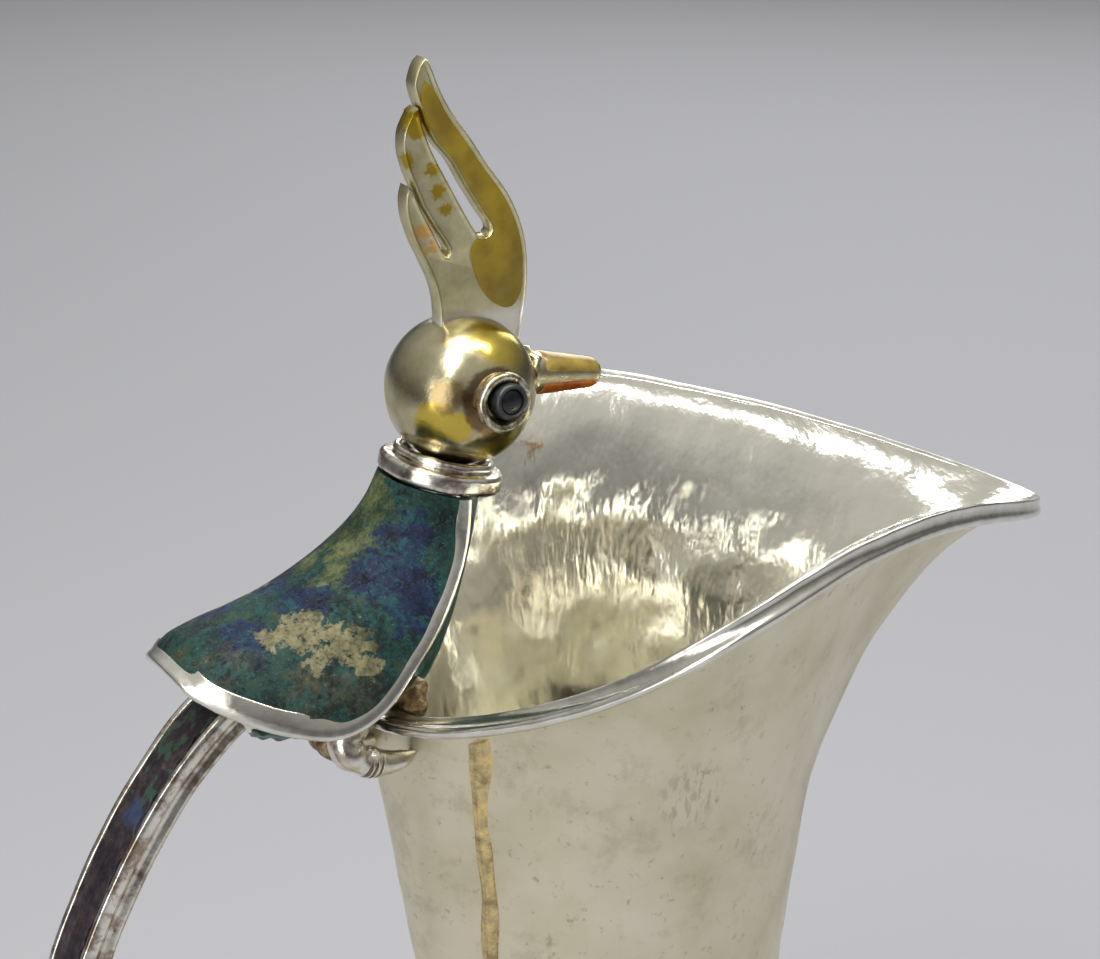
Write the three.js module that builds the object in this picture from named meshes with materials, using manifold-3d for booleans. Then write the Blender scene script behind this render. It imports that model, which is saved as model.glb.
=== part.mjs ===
// Silver water pitcher whose handle is a long-tailed bird perched on the rim.
// Millimetres, +Z up. The origin is the centre of the base's underside, +X points to the spout
// and the handle lies towards -X. The pitcher is symmetric about the XZ plane.
import * as THREE from "three";
import { mergeVertices } from "three/addons/utils/BufferGeometryUtils.js";
import Module from "manifold-3d";

const wasm = await Module();
wasm.setup();

// ---- driving dimensions ----
const GAP = 0.3; // clearance between soldered neighbours
const SLIVER = 0.01; // a cut leaves no edge shorter than about this
const SHEET = 1.2; // wall of the vessel

const BASE = { radius: 40, floor: 3.6, wire: 2.4 }; // bottom disc and the foot wire under it
const BELLY = { radius: 57.5, height: 42 };
const WAIST = { radius: 29.2, height: 105 };
// The mouth's centre line, as harmonics of the angle that starts at the spout's tip.
const MOUTH = {
  x: [8.86, 60.22, 13.98, 6.6],
  y: [47, 2.23, -4.65, -0.97],
  z: [223.96, 9.48, -11.72, -4.12],
};
// lean: wall angle at the rim in degrees. spread: how far out the wall is when it starts to curl.
const FLARE = { start: 0.346, lean: [36.4, -41.4, 4.4], spread: [0.18, 0.02, 0.057] };
const RIM = { width: 4.2, thickness: 2, tipWidth: 3, overlap: 1.8, standOff: 0.5 };

// The brazed line starts under the rim at one mouth angle and turns a little towards the handle.
const SEAM = {
  angle: 2.595, turn: 0.15, settle: 0.6, top: 2.972, bottom: 2.05, halfWidth: 1.5, crown: 0.95, edge: 0.6,
};

const HEAD = { x: -27.4, z: 259.7, radius: 12, wall: 1, vent: 2.4 };
const NECK = { x: -30.7, z: 248.4, tilt: 0.28, radius: 10, height: 3.2, hole: 5, wire: 0.8, wireRing: 7.3 };
const EYE = {
  radius: 4.4, bore: 3.6, reach: 13.5, bead: 2.9, beadReach: 14.6, pupil: 2,
  up: 0.11, forward: 0.045, offset: 0.4, // turned a little up and forward, bead off centre
};
const BEAK = { length: 26.2, base: 3.75, tip: 2.2, droop: 0.17, rise: 2.6 };
const CREST = { thickness: 3, enamel: 0.4 };

const CAPE = { sweep: 70, stone: 1.6, bandEnds: 2.4, bandMiddle: 4.6, bandRise: 0.6, bandDrop: 1.5 };
const TAIL = { width: 11, thickness: 6, lip: 1.4, recess: 1.3 };
const FOOT = { near: { x: 0.9, y: -5.6, z: -0.7 }, far: { x: 2.1, y: 4.4, z: -2 }, thickness: 3.8 };

// ---- mesh and solid helpers ----
const v3 = (x, y, z) => new THREE.Vector3(x, y, z);
const range = (n) => Array.from({ length: n }, (_, i) => i);
const harmonics = (terms, t, wave, first) =>
  terms.reduce((sum, a, k) => sum + a * wave((k + first) * t), 0);

function meshFrom(points, faces) {
  const volume = faces.reduce(
    (sum, [a, b, c]) => sum + points[a].dot(points[b].clone().cross(points[c])),
    0,
  );
  const order = volume < 0 ? faces.map(([a, b, c]) => [a, c, b]) : faces;
  return new THREE.BufferGeometry()
    .setFromPoints(points)
    .setIndex(order.flat());
}

// Joins rings of equally many points. A closed skin meets itself; an open one is capped with
// the given triangles, or with a fan from each end's centre.
function skin(rings, { closed = false, cap = null } = {}) {
  const n = rings[0].length;
  const points = rings.flat();
  const faces = [];
  const last = closed ? rings.length : rings.length - 1;
  for (let i = 0; i < last; i++)
    for (let j = 0; j < n; j++) {
      const a = i * n + j;
      const b = i * n + ((j + 1) % n);
      const c = ((i + 1) % rings.length) * n + j;
      const d = ((i + 1) % rings.length) * n + ((j + 1) % n);
      faces.push([a, b, d], [a, d, c]);
    }
  if (!closed)
    for (const [ring, flip] of [[0, true], [rings.length - 1, false]]) {
      const at = ring * n;
      let ends = cap;
      if (!ends) {
        points.push(rings[ring].reduce((s, p) => s.add(p), v3(0, 0, 0)).divideScalar(n));
        const centre = points.length - 1 - at;
        ends = range(n).map((j) => [j, (j + 1) % n, centre]);
      }
      for (const [a, b, c] of ends)
        faces.push(flip ? [at + a, at + c, at + b] : [at + a, at + b, at + c]);
    }
  return meshFrom(points, faces);
}

// A sheet between two grids of points: each row runs out along one grid and back along the other.
function slab(outer, inner) {
  const rows = outer.map((row, i) => [...row, ...[...inner[i]].reverse()]);
  const n = outer[0].length;
  const cap = range(n - 1).flatMap((k) => [
    [k, k + 1, 2 * n - 2 - k],
    [k, 2 * n - 2 - k, 2 * n - 1 - k],
  ]);
  return skin(rows, { cap });
}

function solid(geometry) {
  const flat = geometry.index ? geometry.toNonIndexed() : geometry;
  const bare = new THREE.BufferGeometry().setAttribute("position", flat.getAttribute("position"));
  const merged = mergeVertices(bare, 1e-3);
  return new wasm.Manifold(
    new wasm.Mesh({
      numProp: 3,
      vertProperties: merged.attributes.position.array,
      triVerts: new Uint32Array(merged.index.array),
    }),
  );
}

function geometryOf(made) {
  const mesh = made.getMesh();
  return new THREE.BufferGeometry()
    .setAttribute("position", new THREE.BufferAttribute(mesh.vertProperties, 3))
    .setIndex(new THREE.BufferAttribute(mesh.triVerts, 1));
}

const largest = (made) =>
  made.decompose().reduce((best, b) => (b.volume() > best.volume() ? b : best));
const cut = (geometry, ...cutters) =>
  geometryOf(largest(cutters.reduce((s, c) => s.subtract(solid(c)), solid(geometry))).simplify(SLIVER));
const keep = (geometry, cutter) => geometryOf(solid(geometry).intersect(solid(cutter)));

const catmull = (points) => new THREE.CatmullRomCurve3(points, false, "centripetal");
const outline = (points) => {
  const shape = new THREE.Shape();
  shape.moveTo(...points[0]);
  shape.splineThru(points.slice(1).map(([x, z]) => new THREE.Vector2(x, z)));
  return shape;
};

// An XZ outline extruded along Y about y = 0.
function plateXZ(shape, thickness, y = 0, curveSegments = 4) {
  return new THREE.ExtrudeGeometry(shape, { depth: thickness, bevelEnabled: false, curveSegments })
    .rotateX(Math.PI / 2)
    .translate(0, y + thickness / 2, 0);
}

// A (radius, height) profile turned round the Y axis, and one stood up round the Z axis.
const turned = (profile, sides) =>
  new THREE.LatheGeometry(profile.map(([x, y]) => new THREE.Vector2(x, y)), sides);
const turnedUp = (profile, sides) => turned(profile, sides).rotateX(Math.PI / 2);

// ---- vessel ----
function bezier(p, s) {
  const q = 1 - s;
  const w = [q * q * q, 3 * q * q * s, 3 * q * s * s, s * s * s];
  return [0, 1].map((k) => w.reduce((sum, wi, i) => sum + wi * p[i][k], 0));
}

function rimPoint(t) {
  return v3(
    harmonics(MOUTH.x, t, Math.cos, 0),
    harmonics(MOUTH.y, t, Math.sin, 1),
    harmonics(MOUTH.z, t, Math.cos, 0),
  );
}

// Bezier points of the wall's lower curves as (radius, height).
const FOOT_CURVE = [
  [BASE.radius, BASE.floor], [BASE.radius + 10, BASE.floor + 3],
  [BELLY.radius, 24], [BELLY.radius, BELLY.height],
];
const SHOULDER_CURVE = [
  [BELLY.radius, BELLY.height], [BELLY.radius, 66],
  [WAIST.radius, 76], [WAIST.radius, WAIST.height],
];

// The outer wall in the half plane of mouth angle t: s runs 0..1 over the foot curve, 1..2 over
// the shoulder and 2..3 over the flare that ends in the rim.
function wallPoint(t, s) {
  const rim = rimPoint(t);
  const reach = Math.hypot(rim.x, rim.y);
  const parts = [FOOT_CURVE, SHOULDER_CURVE, flareCurve(t, reach, rim.z)];
  const k = Math.min(2, Math.floor(s));
  const [r, z] = bezier(parts[k], s - k);
  return v3((r * rim.x) / reach, (r * rim.y) / reach, z);
}

function flareCurve(t, reach, height) {
  const lean = THREE.MathUtils.degToRad(harmonics(FLARE.lean, t, Math.cos, 0));
  const spread = harmonics(FLARE.spread, t, Math.cos, 0);
  const r = WAIST.radius + spread * (reach - WAIST.radius);
  return [
    [WAIST.radius, WAIST.height],
    [WAIST.radius, WAIST.height + FLARE.start * (height - WAIST.height)],
    [r, height - (reach - r) * Math.tan(lean)],
    [reach, height],
  ];
}

function wallNormal(t, s) {
  const e = 1e-3;
  const along = wallPoint(t, Math.min(3, s + e)).sub(wallPoint(t, Math.max(0, s - e)));
  const around = wallPoint(t + e, s).sub(wallPoint(t - e, s));
  return around.cross(along).normalize();
}

// A point off the outer wall: `out` along its normal and `up` past the rim along its slope.
function offWall(t, s, out, up = 0) {
  const off = wallPoint(t, s).addScaledVector(wallNormal(t, s), out);
  if (!up) return off;
  const slope = wallPoint(t, s).sub(wallPoint(t, s - 1e-3)).normalize();
  return off.addScaledVector(slope, up);
}

const AROUND = 48;
const STEPS = [0, 0.3, 0.65, 1, 1.3, 1.6, 1.85, 2, 2.25, 2.5, 2.7, 2.85, 2.94, 3];
const mouthAngles = range(AROUND).map((i) => (2 * Math.PI * i) / AROUND);

// The vessel's wall from `outside` to `inside` of its outer face, carried past the rim by `up`.
function vesselWall(outside, inside, up) {
  const face = (t, off) => STEPS.map((s) => offWall(t, s, off, s === 3 ? up : 0));
  return skin(
    mouthAngles.map((t) => [...face(t, outside), ...face(t, inside).reverse()]),
    { closed: true },
  );
}

const rimHalfWidth = (t) =>
  THREE.MathUtils.lerp(RIM.tipWidth, RIM.width, Math.min(1, Math.abs(Math.sin(t / 2)) * 2.5)) / 2;

function rimBand(grow = 0) {
  const sides = 8;
  const section = (t) =>
    range(sides).map((k) => {
      const a = (2 * Math.PI * (k + 0.5)) / sides;
      const flat = 1 / Math.cos(Math.PI / sides);
      const up = (rimHalfWidth(t) + grow) * Math.cos(a) * flat;
      const out = (RIM.thickness / 2 + grow) * Math.sin(a) * flat;
      return offWall(t, 3, RIM.standOff + RIM.thickness / 2 + out, up);
    });
  return skin(mouthAngles.map(section), { closed: true });
}

function bottomDisc() {
  const r = BASE.radius + 1.4;
  const profile = [[0, 0], [r - 0.8, 0], [r, 0.8], [r, BASE.floor - GAP], [0, BASE.floor - GAP]];
  return turnedUp(profile, 44);
}

// A flat-bottomed ring that the pitcher stands on.
function footRing() {
  const r = BASE.radius + 2;
  const w = BASE.wire;
  const profile = [
    [r + GAP, 0], [r + w, 0], [r + w + 0.7, 1], [r + w + 0.7, 2.4],
    [r + w, 3.4], [r + GAP, 3.4], [r + GAP, 0],
  ];
  return turnedUp(profile, 44);
}

// The raised line of brazing where the rolled neck sheet meets itself, down the near side.
function neckSeam() {
  const angle = (s) => -(SEAM.angle + SEAM.turn * (1 - Math.exp(-(SEAM.top - s) / SEAM.settle)));
  const rows = range(17).map((i) => {
    const s = SEAM.top - ((SEAM.top - SEAM.bottom) * i) / 16;
    return [-1, -0.4, 0.4, 1].map((across) => {
      const t = angle(s) + (across * SEAM.halfWidth) / 50;
      const crown = Math.abs(across) < 0.5 ? SEAM.crown : SEAM.edge;
      return [offWall(t, s, crown), offWall(t, s, GAP)];
    });
  });
  return slab(rows.map((r) => r.map((p) => p[0])), rows.map((r) => r.map((p) => p[1])));
}

// ---- the bird's cape of stone, its silver band and the torso under it ----
// Matching stations from the collar to the rear tip: the spine, and the wing edge on one side.
const SPINE = catmull([
  v3(-40, 0, 247), v3(-42.4, 0, 243), v3(-45.4, 0, 239.2), v3(-49.4, 0, 235.7), v3(-54.4, 0, 232.8),
  v3(-60, 0, 230.5), v3(-65.8, 0, 228.9), v3(-71.2, 0, 227.7), v3(-75.8, 0, 226.6), v3(-79, 0, 225.6),
]);
const WING_EDGE = catmull([
  v3(-31.7, 8.6, 244.9), v3(-32.6, 9.2, 239), v3(-35.4, 11.2, 233.4), v3(-40.4, 13.8, 227),
  v3(-46.2, 15.6, 221.4), v3(-52.2, 16.8, 216.5), v3(-58.9, 17, 214.6), v3(-66.4, 15.4, 216.4),
  v3(-73.2, 11.6, 219.4), v3(-78.2, 6.8, 222.2),
]);
const REAR_TIP = v3(-80.4, 0, 224.2);

// u runs from the collar to the tail, v from one wing edge (-1) over the spine to the other (1).
function capePoint(u, v) {
  const spine = SPINE.getPoint(u);
  const edge = WING_EDGE.getPoint(u);
  const full = THREE.MathUtils.degToRad(CAPE.sweep);
  const drop = (1 - Math.cos(v * full)) / (1 - Math.cos(full));
  return v3(
    THREE.MathUtils.lerp(spine.x, edge.x, drop),
    (edge.y * Math.sin(v * full)) / Math.sin(full),
    THREE.MathUtils.lerp(spine.z, edge.z, drop),
  );
}

function capeNormal(u, v) {
  const e = 2e-3;
  const du = capePoint(Math.min(1, u + e), v).sub(capePoint(Math.max(0, u - e), v));
  const dv = capePoint(u, v + e).sub(capePoint(u, v - e));
  return du.cross(dv).normalize();
}

const offCape = (u, v, out) => capePoint(u, v).addScaledVector(capeNormal(u, v), out);

const bandWidth = (u) =>
  CAPE.bandEnds + (CAPE.bandMiddle - CAPE.bandEnds) * Math.sin(Math.PI * u ** 1.1);

// The cape's border from one front corner round the rear tip to the other.
const border = (() => {
  const us = range(22).map((i) => i / 21);
  const at = (v) => (u) => ({ at: capePoint(u, v), normal: capeNormal(u, v), width: bandWidth(u) });
  const tip = { at: REAR_TIP, normal: v3(-0.75, 0, 0.66), width: CAPE.bandEnds };
  return [...us.map(at(-1)), tip, ...us.map(at(1)).reverse()];
})();

function capeBand(grow = 0) {
  const rings = border.map(({ at, normal, width }, i) => {
    const next = border[Math.min(border.length - 1, i + 1)].at;
    const before = border[Math.max(0, i - 1)].at;
    const inward = normal.clone().cross(next.clone().sub(before)).normalize();
    const high = CAPE.bandRise + grow;
    const low = -CAPE.bandDrop - grow;
    const corners = [
      [-grow, low], [-0.7 - grow, low * 0.4], [-0.7 - grow, high * 0.3], [0.6, high],
      [width - 0.6, high], [width + grow, high * 0.3], [width + grow, low],
    ];
    return corners.map(([across, out]) =>
      at.clone().addScaledVector(inward, across).addScaledVector(normal, out),
    );
  });
  const cap = range(5).map((k) => [0, k + 1, k + 2]);
  return skin(rings, { cap });
}

// How far across the cape the stone may go before it reaches the band.
function stoneReach(u) {
  const clear = (v) =>
    border.every(({ at, width }) => at.distanceTo(capePoint(u, v)) > width + GAP);
  const steps = range(60).map((k) => k / 60);
  const free = steps.filter(clear);
  return free.length ? free[free.length - 1] : 0;
}

function capeStone() {
  const rows = [];
  for (const i of range(17)) {
    const u = (0.93 * i) / 16;
    const reach = stoneReach(u);
    if (reach < 0.1) break;
    rows.push(range(13).map((j) => [u, reach * (j / 6 - 1)]));
  }
  return slab(
    rows.map((row) => row.map(([u, v]) => offCape(u, v, 0))),
    rows.map((row) => row.map(([u, v]) => offCape(u, v, -CAPE.stone))),
  );
}

// Everything above the cape's underside, used to trim what lies beneath it.
function aboveCape() {
  const us = range(20).map((i) => -0.04 + (1.06 * i) / 19);
  const vs = range(15).map((j) => 1.12 * ((2 * j) / 14 - 1));
  const at = (u, v, out) => {
    const inside = Math.min(1, Math.max(0, u));
    const beyond = capePoint(inside, v).sub(capePoint(Math.min(0.98, Math.max(0.02, u)), v));
    const stretch = u === inside ? 0 : Math.abs(u - inside) * 50;
    return offCape(inside, v, out).addScaledVector(beyond, stretch);
  };
  return slab(
    us.map((u) => vs.map((v) => at(u, v, 9))),
    us.map((u) => vs.map((v) => at(u, v, -CAPE.bandDrop - GAP))),
  );
}

// The torso as stations from the neck to the tail: front (or under) point, back point, half width.
const TORSO = [
  { front: [-26.8, 244.2], back: [-39.4, 246.6], half: 7.4 },
  { front: [-28, 238.6], back: [-41.6, 241.8], half: 8 },
  { front: [-30.4, 231.2], back: [-45.6, 236.6], half: 10 },
  { front: [-33.4, 223.8], back: [-51, 232.4], half: 12.2 },
  { front: [-37.4, 216.6], back: [-57.6, 229.2], half: 13.8 },
  { front: [-42, 211.4], back: [-63.6, 227], half: 14 },
  { front: [-50, 209.4], back: [-69, 225.4], half: 12.8 },
  { front: [-60, 208.9], back: [-73, 224.2], half: 10 },
  { front: [-67.4, 210.4], back: [-75, 222.6], half: 6.4 },
];

function torsoPoint(station, angle, grow = 0) {
  const { front, back, half } = TORSO[station];
  const middle = [(front[0] + back[0]) / 2, (front[1] + back[1]) / 2];
  const reach = Math.hypot(front[0] - back[0], front[1] - back[1]) / 2;
  const along = ((reach + grow) / reach) * Math.cos(angle);
  return v3(
    middle[0] + (front[0] - middle[0]) * along,
    (half + grow) * Math.sin(angle),
    middle[1] + (front[1] - middle[1]) * along,
  );
}

const torsoRings = (grow) =>
  TORSO.map((_, k) => range(20).map((j) => torsoPoint(k, (2 * Math.PI * j) / 20, grow)));

// A stone skin over part of the torso: stations first..last, within `spread` of the front line.
function torsoStone(first, last, spread, inner, outer) {
  const rows = (grow) =>
    range(last - first + 1).map((i) =>
      range(9).map((j) => torsoPoint(first + i, spread * ((2 * j) / 8 - 1), grow)),
    );
  return slab(rows(outer), rows(inner));
}

// ---- head, neck, beak, eyes and crest, in the head's frame ----
function headBall(grow = 0) {
  const outer = HEAD.radius + grow;
  const inner = grow ? 0.01 : HEAD.radius - HEAD.wall;
  const open = Math.asin(HEAD.vent / HEAD.radius);
  const arc = (r, from, to) =>
    range(11).map((i) => {
      const a = from + ((to - from) * i) / 10;
      return new THREE.Vector2(Math.abs(r * Math.sin(a)) < 1e-9 ? 0 : r * Math.sin(a), -r * Math.cos(a));
    });
  const profile = [...arc(outer, open, Math.PI), ...arc(inner, Math.PI, open)];
  profile.push(profile[0].clone());
  return new THREE.LatheGeometry(profile, 26).rotateX(Math.PI / 2);
}

const ballCutter = (grow) => new THREE.SphereGeometry(HEAD.radius + grow, 32, 20);

function collar() {
  const { radius: r, height: h, hole } = NECK;
  const profile = [
    [hole, -0.9], [r - 1.4, -0.9], [r - 1.4, -h], [r - 0.5, -h], [r, -h + 0.5],
    [r, -0.6], [r - 0.6, 0], [hole, 0], [hole, -0.9],
  ];
  return turnedUp(profile, 28);
}

// The collar's space and everything above it, used to trim what comes up to it.
const neckCutter = () =>
  new THREE.CylinderGeometry(14, 14, 12, 24).rotateX(Math.PI / 2).translate(0, 0, 6 - NECK.height - GAP);

const neckWire = () => new THREE.TorusGeometry(NECK.wireRing, NECK.wire, 6, 28);

// A turned piece along the eye's axis, from `low` to `high` off the head's centre.
function eyePiece(side, profile) {
  return turned(profile, 20)
    .rotateZ(side < 0 ? Math.PI : 0)
    .rotateX(side * EYE.up)
    .rotateZ(-side * EYE.forward);
}

function eyeCup(side) {
  const { radius: r, bore: b, reach } = EYE;
  const profile = [
    [b, 8.5], [r - 0.3, 8.5], [r - 0.3, reach - 1.3], [r, reach - 1],
    [r, reach - 0.2], [r - 0.2, reach], [b, reach], [b, 8.5],
  ];
  return cut(eyePiece(side, profile), ballCutter(GAP));
}

function eyeBead(side) {
  const r = EYE.bead;
  const base = HEAD.radius + 0.6;
  const top = EYE.beadReach;
  const profile = [[0, base], [r, base], [r, top - 0.5], [r - 0.5, top], [0, top]];
  return eyePiece(side, profile).translate(EYE.offset, 0, 0);
}

function pupil(side) {
  const base = EYE.beadReach + GAP;
  const profile = [[0, base], [EYE.pupil, base], [EYE.pupil * 0.75, base + 0.5], [0, base + 0.7]];
  return eyePiece(side, profile).translate(EYE.offset, 0, 0);
}

// The beak's half width at a distance from the head's centre: a cone with a rounded end.
function beakRadius(x) {
  const round = 2;
  const along = Math.min(1, Math.max(0, (x - HEAD.radius) / (BEAK.length - HEAD.radius)));
  const cone = THREE.MathUtils.lerp(BEAK.base, BEAK.tip, along);
  const left = BEAK.length - x;
  return left >= round ? cone : cone * Math.sqrt(Math.max(0, 1 - (1 - left / round) ** 2));
}

const turnBeak = (g) => g.rotateZ(-Math.PI / 2).rotateY(BEAK.droop).translate(0, 0, BEAK.rise);

function beakCore() {
  const inset = 0.9;
  const stations = [10, 13.8, 13.81, 25, 25.01, 25.8, 26.4, 26.8];
  const radius = (x) => (x > 13.805 && x < 25.005 ? beakRadius(x) - inset - GAP : beakRadius(x));
  const profile = [[0, 10], ...stations.map((x) => [radius(x), x]), [0, BEAK.length]];
  return cut(turnBeak(turned(profile, 24)), ballCutter(GAP));
}

function beakInlay(side) {
  const from = 13.8 + GAP;
  const to = 25 - GAP;
  const xs = range(6).map((i) => from + ((to - from) * i) / 5);
  const profile = [
    ...xs.map((x) => [beakRadius(x), x]),
    ...xs.map((x) => [beakRadius(x) - 0.9, x]).reverse(),
  ];
  profile.push(profile[0]);
  const ring = turned(profile, 24);
  const half = new THREE.BoxGeometry(10, 40, 10).translate(side * (5 + GAP / 2), 20, 0);
  return turnBeak(keep(ring, half));
}

// Three feathers parted by two slots, as one outline; the foot is trimmed by the head.
function crestShape() {
  const shape = new THREE.Shape();
  const spline = (points) => shape.splineThru(points.map(([x, z]) => new THREE.Vector2(x, z)));
  shape.moveTo(8.6, 5);
  shape.lineTo(10.1, 7);
  spline([
    [11.3, 13.8], [11.6, 18.4], [11.2, 23], [9.8, 27.5], [7.8, 31.4],
    [4.5, 36], [1.3, 40.9], [-1.9, 45.4], [-3.8, 49.1], [-5, 52.1],
  ]);
  spline([[-5.9, 53.6], [-6.8, 53], [-7.6, 51.4], [-8, 49.8], [-7.6, 47.8], [-6.9, 45.8]]);
  spline([[-6.2, 43.6], [-4.5, 40.4], [-1.7, 36.9], [0.5, 33], [3.1, 28.8], [5.1, 25.2]]);
  shape.lineTo(2.4, 25.4);
  spline([[0.4, 28.8], [-2.2, 33.6], [-5.1, 39.2], [-6.7, 43.4], [-7.4, 46.2]]);
  spline([[-8.5, 45.2], [-9.8, 42.7], [-10, 39.9], [-9.3, 36.8], [-8.2, 34]]);
  spline([[-6.7, 30.6], [-4.5, 26.9], [-1.9, 22.9]]);
  shape.lineTo(-3.6, 22.2);
  spline([[-5.1, 26], [-7, 30.2], [-8.7, 33.8], [-9.1, 34.3]]);
  spline([[-9.6, 32.8], [-9.7, 30.1], [-8.6, 26.1], [-6.7, 21.9], [-5.1, 18.3], [-4.3, 14.8], [-4.1, 9]]);
  shape.lineTo(-3, 5);
  return shape;
}

const crestPlate = () => cut(plateXZ(crestShape(), CREST.thickness, 0, 3), ballCutter(GAP));

const FRONT_PANEL = [
  [-5.8, 48.4], [-4.4, 46.8], [-2.6, 44], [0.4, 39.9], [3.6, 35.2], [6.6, 30.8], [8.5, 27], [9.7, 22.8],
  [10.1, 18.4], [9.8, 14.8], [8.4, 13.2], [6.2, 13.8], [4, 16], [2.4, 19.4], [2, 23], [3, 24.5], [5.9, 24.6],
  [5.2, 27], [2.4, 31.8], [-0.4, 36.4], [-3, 40.4], [-5, 44.4], [-5.8, 48.4],
];

const crestEnamel = (side) =>
  plateXZ(outline(FRONT_PANEL), CREST.enamel, side * (CREST.thickness / 2 + GAP + CREST.enamel / 2), 2);

// ---- tail strap, its inlay and its solder pad on the belly ----
const TAIL_LINE = catmull([
  v3(-67, 0, 216.6), v3(-73, 0, 212.2), v3(-78.8, 0, 206.4), v3(-86, 0, 196.8),
  v3(-93.4, 0, 183.6), v3(-99.6, 0, 168.2), v3(-103.8, 0, 150), v3(-105.2, 0, 131),
  v3(-102.3, 0, 112), v3(-94.8, 0, 95.2), v3(-82.6, 0, 82), v3(-68.4, 0, 73.6), v3(-55, 0, 69),
]);

// Sweeps a (width, height) section along the tail; height points away from the pitcher.
function alongTail(section, from, to, steps) {
  const rings = range(steps + 1).map((i) => {
    const u = from + ((to - from) * i) / steps;
    const at = TAIL_LINE.getPointAt(u);
    const way = TAIL_LINE.getTangentAt(u);
    const away = v3(way.z, 0, -way.x);
    return section.map(([w, h]) => v3(at.x + away.x * h, w, at.z + away.z * h));
  });
  const flat = section.map(([w, h]) => new THREE.Vector2(w, h));
  return skin(rings, { cap: THREE.ShapeUtils.triangulateShape(flat, []) });
}

function tailSection() {
  const w = TAIL.width / 2;
  const h = TAIL.thickness / 2;
  const lip = TAIL.lip;
  return [
    [-w + 0.8, -h], [w - 0.8, -h], [w, -h + 0.8], [w, h - 0.5], [w - 0.5, h], [w - lip, h],
    [w - lip, h - TAIL.recess], [-w + lip, h - TAIL.recess],
    [-w + lip, h], [-w + 0.5, h], [-w, h - 0.5], [-w, -h + 0.8],
  ];
}

function tailInlaySection() {
  const w = TAIL.width / 2 - TAIL.lip - GAP;
  const high = TAIL.thickness / 2 - 0.1;
  const low = TAIL.thickness / 2 - TAIL.recess + GAP;
  return [[-w, low], [w, low], [w, high], [-w, high]];
}

const tailCutter = () => {
  const w = TAIL.width / 2 + GAP;
  const h = TAIL.thickness / 2 + GAP;
  return alongTail([[-w, -h], [w, -h], [w, h], [-w, h]], 0, 1, 40);
};

// An oval plate soldered to the belly where the tail comes back to it.
function tailPad() {
  const end = TAIL_LINE.getPointAt(1);
  const way = TAIL_LINE.getTangentAt(1);
  const length = 9;
  const pad = new THREE.CylinderGeometry(8.6, 6.6, length, 28)
    .scale(1.15, 1, 0.86)
    .rotateZ(-Math.PI / 2)
    .rotateY(Math.atan2(-way.z, way.x))
    .translate(end.x + way.x * (length / 2 + GAP), 0, end.z + way.z * (length / 2 + GAP));
  return pad;
}

// ---- feet and the lug inside the mouth ----
function foot({ x, y, z }) {
  const shape = new THREE.Shape();
  const spline = (points) => shape.splineThru(points.map(([px, pz]) => new THREE.Vector2(px, pz)));
  shape.moveTo(-55.6, 214.5);
  spline([[-55.2, 209.2], [-53.6, 205.6], [-50.4, 202.8], [-46.8, 201.4], [-43.2, 200.9], [-40.2, 201.8]]);
  shape.lineTo(-40.2, 204.4);
  spline([[-44, 204.6], [-47.2, 206.6], [-48.6, 209.6], [-49, 214.5]]);
  return plateXZ(shape, FOOT.thickness, y, 4).translate(x, 0, z);
}

function rimLug() {
  const shape = outline([
    [-35, 213], [-36.4, 209.2], [-38.8, 206.8], [-42, 205.4],
    [-43.4, 207.4], [-43, 212], [-39, 214.6], [-35, 213],
  ]);
  return plateXZ(shape, 9, -1, 3);
}

// ---- materials ----
const finish = (color, roughness, metalness) =>
  new THREE.MeshStandardMaterial({ color, roughness, metalness });
const FINISH = {
  silver: () => finish(0xcfc9b4, 0.35, 1),
  gilt: () => finish(0xb9a767, 0.32, 1),
  braze: () => finish(0xb58d3c, 0.35, 1),
  tarnish: () => finish(0x6a5236, 0.6, 0.7),
  mosaic: () => finish(0x2d4d55, 0.55, 0),
  green: () => finish(0x1f5a3c, 0.4, 0),
  dark: () => finish(0x2b2130, 0.4, 0),
  enamel: () => finish(0x8a6b0c, 0.3, 0.1),
  amber: () => finish(0xc0560f, 0.25, 0),
  grey: () => finish(0x3d4242, 0.4, 0.2),
  black: () => finish(0x0a0a0a, 0.3, 0),
};

const pitcher = new THREE.Group();
const vessel = new THREE.Group();
const bird = new THREE.Group();
const head = new THREE.Group();
const neck = new THREE.Group();
head.position.set(HEAD.x, 0, HEAD.z);
neck.position.set(NECK.x, 0, NECK.z);
neck.rotation.y = NECK.tilt;
pitcher.add(vessel, bird, head, neck);

function add(group, name, geometry, material) {
  const mesh = new THREE.Mesh(geometry, FINISH[material]());
  mesh.name = name;
  group.add(mesh);
  return mesh;
}

// A copy of a geometry moved from a group's frame to the pitcher's.
function inWorld(geometry, group) {
  group.updateMatrixWorld(true);
  return geometry.clone().applyMatrix4(group.matrixWorld);
}

// ---- assembly ----
const wall = vesselWall(0, -SHEET, RIM.overlap);
const nearWall = vesselWall(GAP, -SHEET - GAP, RIM.overlap + GAP);
const nearRim = rimBand(GAP);
add(vessel, "body_shell", wall, "silver");
add(vessel, "base_disc", bottomDisc(), "silver");
add(vessel, "foot_ring", footRing(), "silver");
add(vessel, "rim_band", rimBand(), "silver");
add(vessel, "neck_seam", neckSeam(), "braze");

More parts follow.
